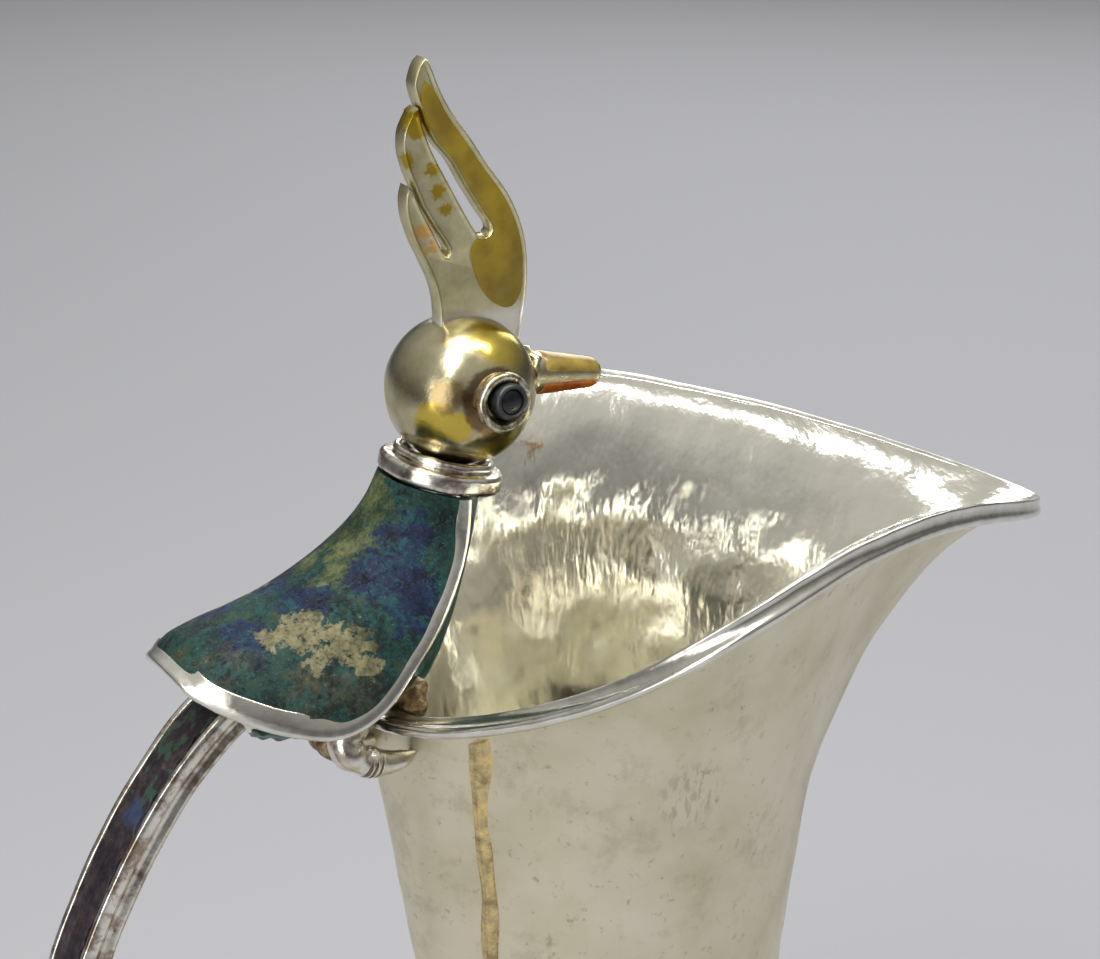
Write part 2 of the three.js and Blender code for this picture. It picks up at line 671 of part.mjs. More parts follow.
const overCape = aboveCape();
const nearTail = tailCutter();
const underNeck = inWorld(neckCutter(), neck);
const torso = cut(skin(torsoRings(0)), overCape, capeBand(GAP), nearTail, nearRim, nearWall, underNeck);
add(bird, "cape_stone", cut(capeStone(), underNeck), "mosaic");
add(bird, "cape_band", cut(capeBand(), underNeck), "silver");
add(bird, "bird_torso", torso, "silver");
const breast = torsoStone(0, 4, 1.2, GAP, 1.5);
add(bird, "breast_stone", cut(breast, overCape, capeBand(GAP), nearRim, nearWall, underNeck), "green");
const belly = torsoStone(6, 8, 0.9, GAP, 1.2);
add(bird, "belly_stone", cut(belly, overCape, capeBand(GAP), nearTail, nearRim, nearWall), "green");
add(bird, "tail_strap", alongTail(tailSection(), 0.02, 1, 34), "silver");
add(bird, "tail_inlay", alongTail(tailInlaySection(), 0.06, 0.985, 34), "dark");
add(bird, "tail_pad", cut(tailPad(), nearWall), "silver");

const nearBelly = torsoStone(6, 8, 0.9, 0, 1.2 + GAP);
const underBird = [skin(torsoRings(GAP)), nearBelly, capeBand(GAP), nearRim, nearWall];
for (const side of ["near", "far"])
  add(bird, "foot_" + side, cut(foot(FOOT[side]), ...underBird), "silver");
const nearBreast = torsoStone(0, 4, 1.25, 0, 1.5 + GAP);
add(bird, "rim_lug", cut(rimLug(), skin(torsoRings(GAP)), nearBreast, nearRim, nearWall), "tarnish");

add(neck, "neck_collar", collar(), "silver");
const wire = neckWire().translate(0, 0, NECK.wire + GAP);
add(neck, "neck_wire", wire, "silver");

add(head, "head_ball", headBall(), "gilt");
add(head, "crest_plate", crestPlate(), "gilt");
add(head, "beak_core", beakCore(), "gilt");
add(head, "beak_inlay_upper", beakInlay(-1), "enamel");
add(head, "beak_inlay_lower", beakInlay(1), "amber");
for (const [side, name] of [[-1, "near"], [1, "far"]]) {
  add(head, "crest_enamel_" + name, crestEnamel(side), "enamel");
  add(head, "eye_cup_" + name, eyeCup(side), "silver");
  add(head, "eye_bead_" + name, eyeBead(side), "grey");
  add(head, "pupil_" + name, pupil(side), "black");
}

export default pitcher;
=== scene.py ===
"""Looks of the silver water pitcher whose handle is a long-tailed bird perched on the rim.

Lengths are in millimetres until a piece is made, and +X points to the spout.
"""

import math

import bmesh
import bpy
import numpy as np
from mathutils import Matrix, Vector


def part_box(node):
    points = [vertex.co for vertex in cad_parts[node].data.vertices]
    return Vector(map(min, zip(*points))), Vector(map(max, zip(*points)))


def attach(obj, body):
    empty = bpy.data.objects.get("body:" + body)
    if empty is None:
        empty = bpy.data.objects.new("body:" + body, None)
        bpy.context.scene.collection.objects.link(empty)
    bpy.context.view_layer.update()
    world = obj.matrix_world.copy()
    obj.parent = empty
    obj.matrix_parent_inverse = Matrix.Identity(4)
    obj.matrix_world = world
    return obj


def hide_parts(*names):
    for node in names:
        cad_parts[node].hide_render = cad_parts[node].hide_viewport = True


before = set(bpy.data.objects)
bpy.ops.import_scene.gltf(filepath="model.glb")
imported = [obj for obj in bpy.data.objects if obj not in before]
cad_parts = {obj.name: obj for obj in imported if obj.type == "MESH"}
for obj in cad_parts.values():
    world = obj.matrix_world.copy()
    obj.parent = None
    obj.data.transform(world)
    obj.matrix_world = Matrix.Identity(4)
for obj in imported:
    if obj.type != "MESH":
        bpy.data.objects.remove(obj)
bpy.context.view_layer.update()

MM = 0.001

# ---- sizes ----
SHEET = 1.2
# The wall rises from the base as three cubic curves, drawn by pulls at these radii and heights.
BASE = {"radius": 40.0, "floor": 3.6, "wire": 2.4, "curl": 10.0, "lift": 3.0, "plate_edge": 1.4}
BELLY = {"radius": 57.5, "height": 42.0, "low_pull": 24.0, "high_pull": 66.0}
WAIST = {"radius": 29.2, "height": 105.0, "low_pull": 76.0}
# The mouth is a sum of cosines in x and z, and of sines in y, of the angle from the spout.
MOUTH = {
    "x": (8.86, 60.22, 13.98, 6.6),
    "y": (47.0, 2.23, -4.65, -0.97),
    "z": (223.96, 9.48, -11.72, -4.12),
}
# The flare leans out by degrees that change round the mouth, and its upper pull stands wider.
FLARE = {"start": 0.346, "lean": (36.4, -41.4, 4.4), "spread": (0.18, 0.02, 0.057)}
# The brazed seam: places up the wall, and its angle round the neck.
SEAM = {
    "top": 2.972, "bottom": 2.05, "angle": 2.595, "turn": 0.15, "settle": 0.6,
    "half_width": 1.9, "crown": 0.75, "neck_radius": 44.0,
}
HEAD = {"centre": (-27.4, 0.0, 259.7), "radius": 12.0}
NECK = {"top": (-30.7, 0.0, 248.4), "tilt": 0.28, "radius": 10.0, "height": 3.2}
EYE = {"up": 0.11, "forward": 0.045, "bead_shift": (0.75, 0, 0.1)}
BEAK = {"length": 26.2, "base": 3.75, "tip": 2.2, "droop": 0.17, "rise": 2.6}
CREST = {"half": 1.2, "bezel": 1.5, "bezel_width": 0.6}
CAPE_SWEEP = math.radians(70)
BORDER = {"front_width": 1.9, "rear_gain": 1.2, "bulge": 0.9}
TAIL = {"width": 11.0, "thickness": 6.0}
CLAW_CUT = {"middle": 203.0, "side": -8.0, "lean": 0.45, "squeeze": 0.18}


# ---- curves and grids ----
def ripple(points, size, seed, count=18):
    """Smooth noise of about -1 to 1 at each point, with bumps about `size` across."""
    rng = np.random.default_rng(seed)
    ways = rng.normal(size=(count, 3))
    ways /= np.linalg.norm(ways, axis=1, keepdims=True)
    ways *= 2 * math.pi / size * rng.uniform(0.6, 1.3, (count, 1))
    phase = rng.uniform(0, 2 * math.pi, count)
    return np.sin(np.asarray(points) @ ways.T + phase).sum(-1) * 1.3 / math.sqrt(count)


class Path:
    """A smooth curve through points, read from 0 at the first to 1 at the last."""

    def __init__(self, points):
        self.points = np.array(points, float)

    def at(self, u):
        """Points of the curve, even from knot to knot."""
        p = self.points
        last = len(p) - 1
        x = np.clip(np.asarray(u, float), 0, 1) * last
        i = np.minimum(x.astype(int), last - 1)
        w = (x - i)[..., None]
        padded = np.vstack([2 * p[0] - p[1], p, 2 * p[-1] - p[-2]])
        a, b, c, d = padded[i], padded[i + 1], padded[i + 2], padded[i + 3]

        def knot(m, n):
            """The spacing of two points, by the root of their distance."""
            return np.maximum(np.linalg.norm(n - m, axis=-1, keepdims=True), 1e-9) ** 0.5

        ab, bc, cd = knot(a, b), knot(b, c), knot(c, d)
        t1 = ((b - a) / ab - (c - a) / (ab + bc) + (c - b) / bc) * bc
        t2 = ((c - b) / bc - (d - b) / (bc + cd) + (d - c) / cd) * bc
        square = -3 * b + 3 * c - 2 * t1 - t2
        cube = 2 * b - 2 * c + t1 + t2
        return b + t1 * w + square * w**2 + cube * w**3

    def even(self, count, start=0.0, end=1.0):
        """Points spaced evenly by length between two shares of the length."""
        fine = self.at(np.linspace(0, 1, 3000))
        run = np.r_[0, np.cumsum(np.linalg.norm(np.diff(fine, axis=0), axis=1))]
        want = np.linspace(start, end, count) * run[-1]
        return np.stack([np.interp(want, run, fine[:, k]) for k in range(fine.shape[1])], -1)


def unit(v):
    """Vectors made one long."""
    return v / np.maximum(np.linalg.norm(v, axis=-1, keepdims=True), 1e-12)


def circle(count):
    """Angles evenly spaced round a full turn."""
    return np.linspace(0, 2 * math.pi, count, endpoint=False)


def quads(rows, cols, wrap_rows=False, wrap_cols=False):
    """Faces of a grid of points stored row by row."""
    i = np.arange(rows if wrap_rows else rows - 1)[:, None]
    j = np.arange(cols if wrap_cols else cols - 1)[None, :]
    i2, j2 = (i + 1) % rows, (j + 1) % cols
    corners = [i * cols + j, i * cols + j2, i2 * cols + j2, i2 * cols + j]
    return np.stack(corners, -1).reshape(-1, 4).tolist()


def end_fans(last, count, centre):
    """Fans that close the first ring and the ring that starts at `last`, round two centre points."""
    faces = []
    for j in range(count):
        k = (j + 1) % count
        faces.append([k, j, centre])
        faces.append([last + j, last + k, centre + 1])
    return faces


def tube(rings):
    """Rings of equally many points joined up, with a fan over each end."""
    rings = np.asarray(rings, float)
    n, m = rings.shape[:2]
    points = np.vstack([rings.reshape(-1, 3), rings[0].mean(0), rings[-1].mean(0)])
    return points, quads(n, m, wrap_cols=True) + end_fans((n - 1) * m, m, n * m)


def slab(outer, inner):
    """A closed sheet between two equal grids of points."""
    outer, inner = np.asarray(outer, float), np.asarray(inner, float)
    n, m = outer.shape[:2]
    rows = np.concatenate([outer, inner[:, ::-1]], axis=1)
    faces = quads(n, 2 * m, wrap_cols=True)
    for row in (0, n - 1):
        base = row * 2 * m
        for j in range(m - 1):
            faces.append([base + j, base + j + 1, base + 2 * m - 2 - j, base + 2 * m - 1 - j])
    return rows.reshape(-1, 3), faces


def lathe(profile, count=96):
    """A profile of (radius, height) points turned round the Z axis, one row for each angle."""
    profile = np.array(profile, float)
    a = circle(count)[:, None]
    r, z = profile[:, 0][None], profile[:, 1][None]
    return np.stack([r * np.cos(a), r * np.sin(a), z + 0 * a], -1)


def turned_body(profile, count=96):
    """A solid turned round Z, whose profile starts and ends on the axis."""
    rings = np.swapaxes(lathe(profile[1:-1], count), 0, 1)
    points = np.vstack([rings.reshape(-1, 3), [0, 0, profile[0][1]], [0, 0, profile[-1][1]]])
    m = len(profile) - 2
    return points, quads(m, count, wrap_cols=True) + end_fans((m - 1) * count, count, m * count)


def turned_ring(profile, count=96):
    """A ring turned round Z from a closed loop of (radius, height)."""
    rings = lathe(profile, count)
    return rings.reshape(-1, 3), quads(count, len(profile), wrap_rows=True, wrap_cols=True)


def rounded(corners, radius, steps=4):
    """A closed loop of corners with each corner rounded off."""
    corners = np.array(corners, float)
    out = []
    for i, here in enumerate(corners):
        before, after = corners[i - 1], corners[(i + 1) % len(corners)]
        reach = min(radius, 0.45 * np.linalg.norm(before - here), 0.45 * np.linalg.norm(after - here))
        a = here + unit(before - here) * reach
        b = here + unit(after - here) * reach
        for k in range(steps + 1):
            w = k / steps
            out.append((1 - w) ** 2 * a + 2 * w * (1 - w) * here + w * w * b)
    return np.array(out)


def uneven(points, amount, size, seed):
    """Points swollen and shrunk a little, as handwork is."""
    return points * (1 + amount * ripple(points, size, seed))[:, None]


def turn_x(points, angle):
    """Points turned about the X axis."""
    c, s = math.cos(angle), math.sin(angle)
    return np.asarray(points) @ np.array([[1, 0, 0], [0, c, s], [0, -s, c]])


def turn_y(points, angle):
    """Points turned about the Y axis."""
    c, s = math.cos(angle), math.sin(angle)
    return np.asarray(points) @ np.array([[c, 0, -s], [0, 1, 0], [s, 0, c]])


def turn_z(points, angle):
    """Points turned about the Z axis."""
    c, s = math.cos(angle), math.sin(angle)
    return np.asarray(points) @ np.array([[c, s, 0], [-s, c, 0], [0, 0, 1]])


def box_of(node):
    """The middle and the half size of a part's box."""
    low, high = (np.array(corner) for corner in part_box(node))
    return (low + high) / 2 / MM, (high - low) / 2 / MM


# ---- making a piece ----
def flatten_modifiers(obj):
    """Turns an object's modifiers into plain mesh."""
    bpy.context.view_layer.update()
    dg = bpy.context.evaluated_depsgraph_get()
    mesh = bpy.data.meshes.new_from_object(obj.evaluated_get(dg))
    obj.modifiers.clear()
    old = obj.data
    obj.data = mesh
    bpy.data.meshes.remove(old)
    return obj


def raw(name, points, faces, materials, which=None):
    """A mesh object from points in millimetres, with its faces turned outwards."""
    mesh = bpy.data.meshes.new(name)
    mesh.from_pydata((np.asarray(points) * MM).tolist(), [], faces)
    for material in materials:
        mesh.materials.append(material)
    if which is not None:
        mesh.polygons.foreach_set("material_index", np.asarray(which, np.int32))
    bm = bmesh.new()
    bm.from_mesh(mesh)
    bmesh.ops.remove_doubles(bm, verts=bm.verts, dist=1e-7)
    bmesh.ops.recalc_face_normals(bm, faces=bm.faces)
    bm.to_mesh(mesh)
    bm.free()
    obj = bpy.data.objects.new(name, mesh)
    bpy.context.scene.collection.objects.link(obj)
    return obj


def finished(obj, nodes=(), sharp=math.radians(50)):
    """Smooth shading, then the piece takes its place on the pitcher."""
    obj.data.shade_smooth()
    obj.data.set_sharp_from_angle(angle=sharp)
    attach(obj, "root")
    if nodes:
        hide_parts(*nodes)
    return obj


def piece(name, shape, material, nodes=(), which=None):
    """A finished piece from points and faces; `which` picks each face's material."""
    materials = material if isinstance(material, list) else [material]
    return finished(raw(name, *shape, materials, which), nodes)


# ---- materials ----
class Finish:
    """A material whose nodes read the object's own place in millimetres."""

    def __init__(self, name, metallic=0.0, ior=1.5, coat=0.0, specular=0.5):
        self.material = bpy.data.materials.new(name)
        self.material.use_nodes = True
        self.nodes = self.material.node_tree.nodes
        self.links = self.material.node_tree.links
        self.shader = self.nodes["Principled BSDF"]
        self.shader.inputs["Metallic"].default_value = metallic
        self.shader.inputs["IOR"].default_value = ior
        self.shader.inputs["Coat Weight"].default_value = coat
        self.shader.inputs["Coat Roughness"].default_value = 0.12
        self.shader.inputs["Specular IOR Level"].default_value = specular
        coords = self.nodes.new("ShaderNodeTexCoord")
        scale = self.nodes.new("ShaderNodeVectorMath")
        scale.operation = "SCALE"
        scale.inputs["Scale"].default_value = 1 / MM
        self.links.new(coords.outputs["Object"], scale.inputs[0])
        self.place = scale.outputs[0]

    def put(self, socket, value):
        """Feeds a socket from another socket, or sets its value."""
        if isinstance(value, bpy.types.NodeSocket):
            self.links.new(value, socket)
        elif isinstance(value, tuple) and socket.type == "RGBA":
            socket.default_value = (*value, 1)
        else:
            socket.default_value = value

    def maths(self, operation, a, b=0.0):
        """Sums and the like, on sockets or numbers."""
        node = self.nodes.new("ShaderNodeMath")
        node.operation = operation
        self.put(node.inputs[0], a)
        self.put(node.inputs[1], b)
        return node.outputs[0]

    def varied(self, noise, gain, low):
        """A value that follows a noise, from `low` upwards."""
        return self.maths("ADD", self.maths("MULTIPLY", noise, gain), low)

    def noise(self, size, detail=3.0, rough=0.5, at=None):
        """Noise from 0 to 1 whose blotches are about `size` millimetres across."""
        node = self.nodes.new("ShaderNodeTexNoise")
        node.inputs["Scale"].default_value = 1 / size
        node.inputs["Detail"].default_value = detail
        node.inputs["Roughness"].default_value = rough
        self.links.new(at or self.place, node.inputs["Vector"])
        return node.outputs["Fac"]

    def dimples(self, size, smooth):
        """Rounded hollows about `size` millimetres apart, as hammer marks are."""
        node = self.nodes.new("ShaderNodeTexVoronoi")
        node.feature = "SMOOTH_F1"
        node.inputs["Scale"].default_value = 1 / size
        node.inputs["Smoothness"].default_value = smooth
        self.links.new(self.place, node.inputs["Vector"])
        return node.outputs["Distance"]

    def stretched(self, x, y, z):
        """The place scaled apart along each axis, for streaks."""
        node = self.nodes.new("ShaderNodeVectorMath")
        node.operation = "MULTIPLY"
        self.links.new(self.place, node.inputs[0])
        node.inputs[1].default_value = (x, y, z)
        return node.outputs[0]

    def steps(self, value, low, high):
        """0 below low and 1 above high, smooth between."""
        node = self.nodes.new("ShaderNodeMapRange")
        node.interpolation_type = "SMOOTHSTEP"
        node.inputs["From Min"].default_value = low
        node.inputs["From Max"].default_value = high
        self.put(node.inputs["Value"], value)
        return node.outputs[0]

    def ramp(self, value, *stops):
        """A color that runs through stops of (value, color)."""
        node = self.nodes.new("ShaderNodeValToRGB")
        elements = node.color_ramp.elements
        while len(elements) < len(stops):
            elements.new(0.5)
        for element, (position, color) in zip(elements, stops):
            element.position = position
            element.color = (*color, 1)
        self.put(node.inputs["Fac"], value)
        return node.outputs["Color"]

    def mix(self, share, a, b):
        """A color that is a where the share is 0 and b where it is 1."""
        node = self.nodes.new("ShaderNodeMix")
        node.data_type = "RGBA"
        self.put(node.inputs["Factor"], share)
        self.put(node.inputs[6], a)
        self.put(node.inputs[7], b)
        return node.outputs[2]

    def tinted(self, color, mask, share, tint):
        """A color taken part of the way to a tint where the mask is 1."""
        return self.mix(self.maths("MULTIPLY", mask, share), color, tint)

    def apart(self):
        """The place as three numbers."""
        node = self.nodes.new("ShaderNodeSeparateXYZ")
        self.links.new(self.place, node.inputs[0])
        return node.outputs

    def together(self, x, y, z):
        """Three numbers as one place."""
        node = self.nodes.new("ShaderNodeCombineXYZ")
        for name, value in (("X", x), ("Y", y), ("Z", z)):
            self.put(node.inputs[name], value)
        return node.outputs[0]

    def folded(self):
        """The place with both sides of the bird laid on its near side."""
        here = self.apart()
        side = self.maths("MULTIPLY", self.maths("ABSOLUTE", here["Y"]), -1.0)
        return self.together(here["X"], side, here["Z"])

    def slanted(self, x):
        """The place squeezed along a slanting line through x, so that a patch there is a thin cut."""
        here = self.apart()
        across = self.maths("SUBTRACT", here["X"], x)
        up = self.maths("SUBTRACT", here["Z"], CLAW_CUT["middle"])
        lean = self.maths("MULTIPLY", up, CLAW_CUT["lean"])
        straight = self.maths("ADD", self.maths("SUBTRACT", across, lean), x)
        low = self.varied(up, CLAW_CUT["squeeze"], CLAW_CUT["middle"])
        return self.together(straight, CLAW_CUT["side"], low)

    def patch(self, centre, radius, soft=0.3, ragged=0.0, grain=2.0, at=None):
        """1 inside a ball round a point and 0 outside, with an edge roughened by noise."""
        node = self.nodes.new("ShaderNodeVectorMath")
        node.operation = "DISTANCE"
        self.links.new(at or self.place, node.inputs[0])
        node.inputs[1].default_value = centre
        distance = node.outputs["Value"]
        if ragged:
            wobble = self.maths("SUBTRACT", self.noise(grain, 4.0, 0.6), 0.5)
            distance = self.maths("ADD", distance, self.maths("MULTIPLY", wobble, ragged * 4))
        inside = self.steps(distance, radius - soft, radius + soft)
        return self.maths("SUBTRACT", 1.0, inside)

    def most(self, *masks):
        """The strongest of several masks."""
        out = masks[0]
        for mask in masks[1:]:
            out = self.maths("MAXIMUM", out, mask)
        return out

    def patches(self, *spots, at=None):
        """Several patches, each given as centre, radius, softness, raggedness and grain."""
        return self.most(*(self.patch(*spot, at=at) for spot in spots))

    def bump(self, height, distance, strength=1.0, under=None):
        """`distance` is the height in millimetres that a value of 1 stands for."""
        node = self.nodes.new("ShaderNodeBump")
        node.inputs["Strength"].default_value = strength
        node.inputs["Distance"].default_value = distance * MM
        self.put(node.inputs["Height"], height)
        if under is not None:
            self.links.new(under, node.inputs["Normal"])
        return node.outputs["Normal"]

    def done(self, color, roughness, normal=None):
        """The finished material."""
        self.put(self.shader.inputs["Base Color"], color)
        self.put(self.shader.inputs["Roughness"], roughness)
        if normal is not None:
            self.links.new(normal, self.shader.inputs["Normal"])
        return self.material


def hammered_silver():
    """The vessel's outside: satin silver with faint yellowing, stains and fine scratches."""
    f = Finish("hammered_silver", metallic=1.0)
    cloud = f.noise(26.0, 4.0, 0.55)
    color = f.ramp(
        cloud,
        (0.3, (0.62, 0.56, 0.38)),
        (0.5, (0.74, 0.69, 0.51)),
        (0.72, (0.81, 0.77, 0.62)),
    )
    speck = f.noise(2.2, 5.0, 0.7)
    color = f.mix(f.steps(speck, 0.58, 0.76), color, (0.44, 0.38, 0.24))
    bloom = f.steps(f.noise(12.0, 6.0, 0.72), 0.52, 0.68)
    color = f.tinted(color, bloom, 0.4, (0.47, 0.41, 0.27))
    stain = f.patches(
        ((-21.0, -38.0, 197.4), 1.3, 0.4, 0.5),
        ((-18.6, -38.6, 196.0), 0.8, 0.4, 0.5),
        ((-38.0, -15.0, 196.0), 0.9, 0.4, 0.4),
    )
    color = f.tinted(color, stain, 0.62, (0.30, 0.28, 0.25))
    rub = f.patch((-6.0, -36.6, 197.5), 6.0, 2.0, 0.9)
    streak = f.steps(f.noise(1.6, 3.0, 0.6, f.stretched(1.6, 1.6, 0.45)), 0.48, 0.6)
    scuffed = f.maths("MULTIPLY", rub, f.maths("MULTIPLY", streak, 0.42))
    color = f.mix(scuffed, color, (0.36, 0.33, 0.27))
    wear = f.noise(9.0, 5.0, 0.65)
    rough = f.varied(wear, 0.26, 0.27)
    dents = f.dimples(9.0, 0.8)
    grain = f.noise(0.7, 4.0, 0.65)
    normal = f.bump(dents, 0.35, 0.5)
    normal = f.bump(f.noise(3.2, 3.0, 0.6), 0.14, 0.5, normal)
    normal = f.bump(grain, 0.02, 0.5, normal)
    return f.done(color, rough, normal)


def polished_inside():
    """The inside: brighter, with hammer marks, turning yellow further down, with painted dark reflections as
    brown blotches in a band partway down.
    """
    f = Finish("polished_inside", metallic=1.0)
    depth = f.apart()["Z"]
    drift = f.maths("MULTIPLY", f.maths("SUBTRACT", f.noise(17.0, 4.0, 0.6), 0.5), 26.0)
    level = f.maths("ADD", depth, drift)
    color = f.ramp(
        f.steps(level, 184.0, 226.0),
        (0.0, (0.88, 0.86, 0.77)),
        (0.45, (0.82, 0.79, 0.68)),
        (0.75, (0.85, 0.82, 0.71)),
        (1.0, (0.85, 0.83, 0.73)),
    )
    # Painted reflection: brown blotches in a band partway down stand in for the dark things reflected in the
    # polished inside.
    reflection_blotch = f.steps(f.noise(7.0, 5.0, 0.65), 0.55, 0.72)
    band = f.maths("SUBTRACT", f.steps(level, 184.0, 200.0), f.steps(level, 206.0, 218.0))
    color = f.tinted(color, f.maths("MULTIPLY", reflection_blotch, band), 0.75, (0.40, 0.33, 0.22))
    rough = f.varied(f.noise(11.0, 4.0, 0.6), 0.14, 0.1)
    dents = f.dimples(7.5, 0.9)
    streaks = f.noise(5.5, 3.0, 0.55, f.stretched(1.3, 1.3, 0.35))
    normal = f.bump(dents, 0.8, 0.6)
    normal = f.bump(streaks, 0.6, 0.6, normal)
    normal = f.bump(f.noise(1.2, 3.0, 0.6), 0.02, 0.5, normal)
    return f.done(color, rough, normal)


def bright_silver(name, grimy):
    """Handled silver trim, with more or less brown grime."""
    f = Finish(name, metallic=1.0)
    color = f.ramp(f.noise(5.0, 4.0, 0.6), (0.3, (0.68, 0.65, 0.55)), (0.65, (0.83, 0.81, 0.74)))
    grime = f.steps(f.noise(3.2, 6.0, 0.7), 0.64 - 0.18 * grimy, 0.82 - 0.18 * grimy)
    color = f.tinted(color, grime, 0.4 + 0.4 * grimy, (0.28, 0.19, 0.14))
    rough = f.varied(f.noise(3.0, 4.0, 0.6), 0.2, 0.12)
    normal = f.bump(f.noise(3.0, 2.0, 0.5), 0.16, 0.6)
    normal = f.bump(f.noise(0.5, 3.0, 0.6), 0.012, 0.5, normal)
    return f.done(color, rough, normal)


def worn_brass():
    """The head and the crest plate: olive brass with thin plate, streaks and bare yellow patches."""
    f = Finish("worn_brass", metallic=1.0)
    cloud = f.noise(6.0, 4.0, 0.6)
    color = f.ramp(
        cloud,
        (0.3, (0.36, 0.31, 0.17)),
        (0.5, (0.52, 0.47, 0.29)),
        (0.75, (0.63, 0.58, 0.40)),
    )
    yellow = f.patches(
        ((-36.2, -7.8, 258.2), 3.4, 0.35, 0.5),
        ((-33.6, -9.8, 257.4), 2.6, 0.35, 0.5),
        ((-24.2, -6.4, 268.4), 4.8, 1.6, 0.9),
        ((-26.0, -9.6, 251.6), 3.6, 1.2, 0.7),
        ((-20.0, 6.0, 264.0), 5.5, 1.5, 0.8),
        ((-36.0, 6.0, 258.0), 5.0, 1.2, 0.8),
    )
    color = f.tinted(color, yellow, 0.85, (0.62, 0.46, 0.05))
    brown = f.patches(
        ((-34.6, -9.0, 262.2), 2.7, 0.5, 0.7),
        ((-31.4, -11.2, 261.0), 1.8, 0.5, 0.5),
        ((-36.9, -6.2, 255.6), 1.3, 0.5, 0.5),
        ((-28.0, -11.5, 256.0), 1.6, 0.8, 0.5),
    )
    color = f.tinted(color, brown, 0.75, (0.27, 0.18, 0.07))
    pits = f.steps(f.noise(0.9, 5.0, 0.7), 0.6, 0.72)
    color = f.tinted(color, pits, 0.5, (0.24, 0.19, 0.09))
    socket = f.patch((-27.6, -11.6, 261.0), 5.4, 0.4, 0.35, 1.2, f.folded())
    color = f.tinted(color, socket, 0.8, (0.13, 0.07, 0.03))
    seam = f.patch((-28.9, 0.0, 248.0), 5.6, 0.9, 0.5)
    color = f.tinted(color, seam, 0.8, (0.20, 0.13, 0.07))
    rough = f.varied(f.noise(2.4, 4.0, 0.65), 0.24, 0.10)
    normal = f.bump(f.noise(2.6, 3.0, 0.55), 0.10, 0.6)
    normal = f.bump(f.noise(0.5, 3.0, 0.6), 0.016, 0.6, normal)
    return f.done(color, rough, normal)


def crest_metal():
    """The crest's plate: pale olive plate with remnants of old gilding and enamel."""
    f = Finish("crest_metal", metallic=1.0)
    base = f.ramp(f.noise(4.0, 4.0, 0.6), (0.3, (0.50, 0.45, 0.24)), (0.7, (0.72, 0.67, 0.44)))
    gold = f.patches(
        ((-34.8, -1.5, 303.4), 2.4, 0.4, 0.6, 1.2),
        ((-37.0, -1.5, 297.8), 1.4, 0.4, 0.6, 1.0),
        ((-31.4, -1.5, 292.6), 1.2, 0.35, 0.7, 0.9),
        ((-30.4, -1.5, 289.4), 1.1, 0.35, 0.7, 0.9),
        ((-32.4, -1.5, 296.0), 1.0, 0.35, 0.7, 0.9),
        ((-34.4, 1.5, 303.0), 3.2, 0.4, 0.6, 1.2),
        ((-31.0, 1.5, 290.0), 2.2, 0.4, 0.6, 1.2),
    )
    color = f.mix(gold, base, (0.45, 0.31, 0.03))
    fire = f.patches(
        ((-34.2, -1.5, 286.6), 1.4, 0.3, 1.6, 0.8),
        ((-33.0, -1.5, 283.6), 1.2, 0.3, 1.6, 0.8),
        ((-33.6, 1.5, 285.6), 2.4, 0.3, 0.8, 0.7),
    )
    color = f.tinted(color, fire, 0.75, (0.78, 0.40, 0.07))
    foot = f.steps(f.apart()["Z"], 270.5, 273.5)
    color = f.mix(f.maths("SUBTRACT", 1.0, foot), color, (0.86, 0.84, 0.76))
    dark = f.steps(f.noise(1.1, 5.0, 0.7), 0.60, 0.76)
    color = f.tinted(color, dark, 0.5, (0.20, 0.15, 0.07))
    rough = f.varied(f.noise(1.8, 4.0, 0.65), 0.25, 0.24)
    normal = f.bump(f.noise(1.8, 3.0, 0.6), 0.08, 0.6)
    return f.done(color, rough, normal)


def bezel_metal():
    """The lighter raised edge round each feather."""
    f = Finish("bezel_metal", metallic=1.0)
    color = f.ramp(f.noise(3.0, 4.0, 0.65), (0.32, (0.44, 0.36, 0.17)), (0.62, (0.66, 0.62, 0.45)))
    rough = f.varied(f.noise(1.4, 4.0, 0.6), 0.25, 0.18)
    normal = f.bump(f.noise(1.4, 3.0, 0.6), 0.06, 0.6)
    return f.done(color, rough, normal)


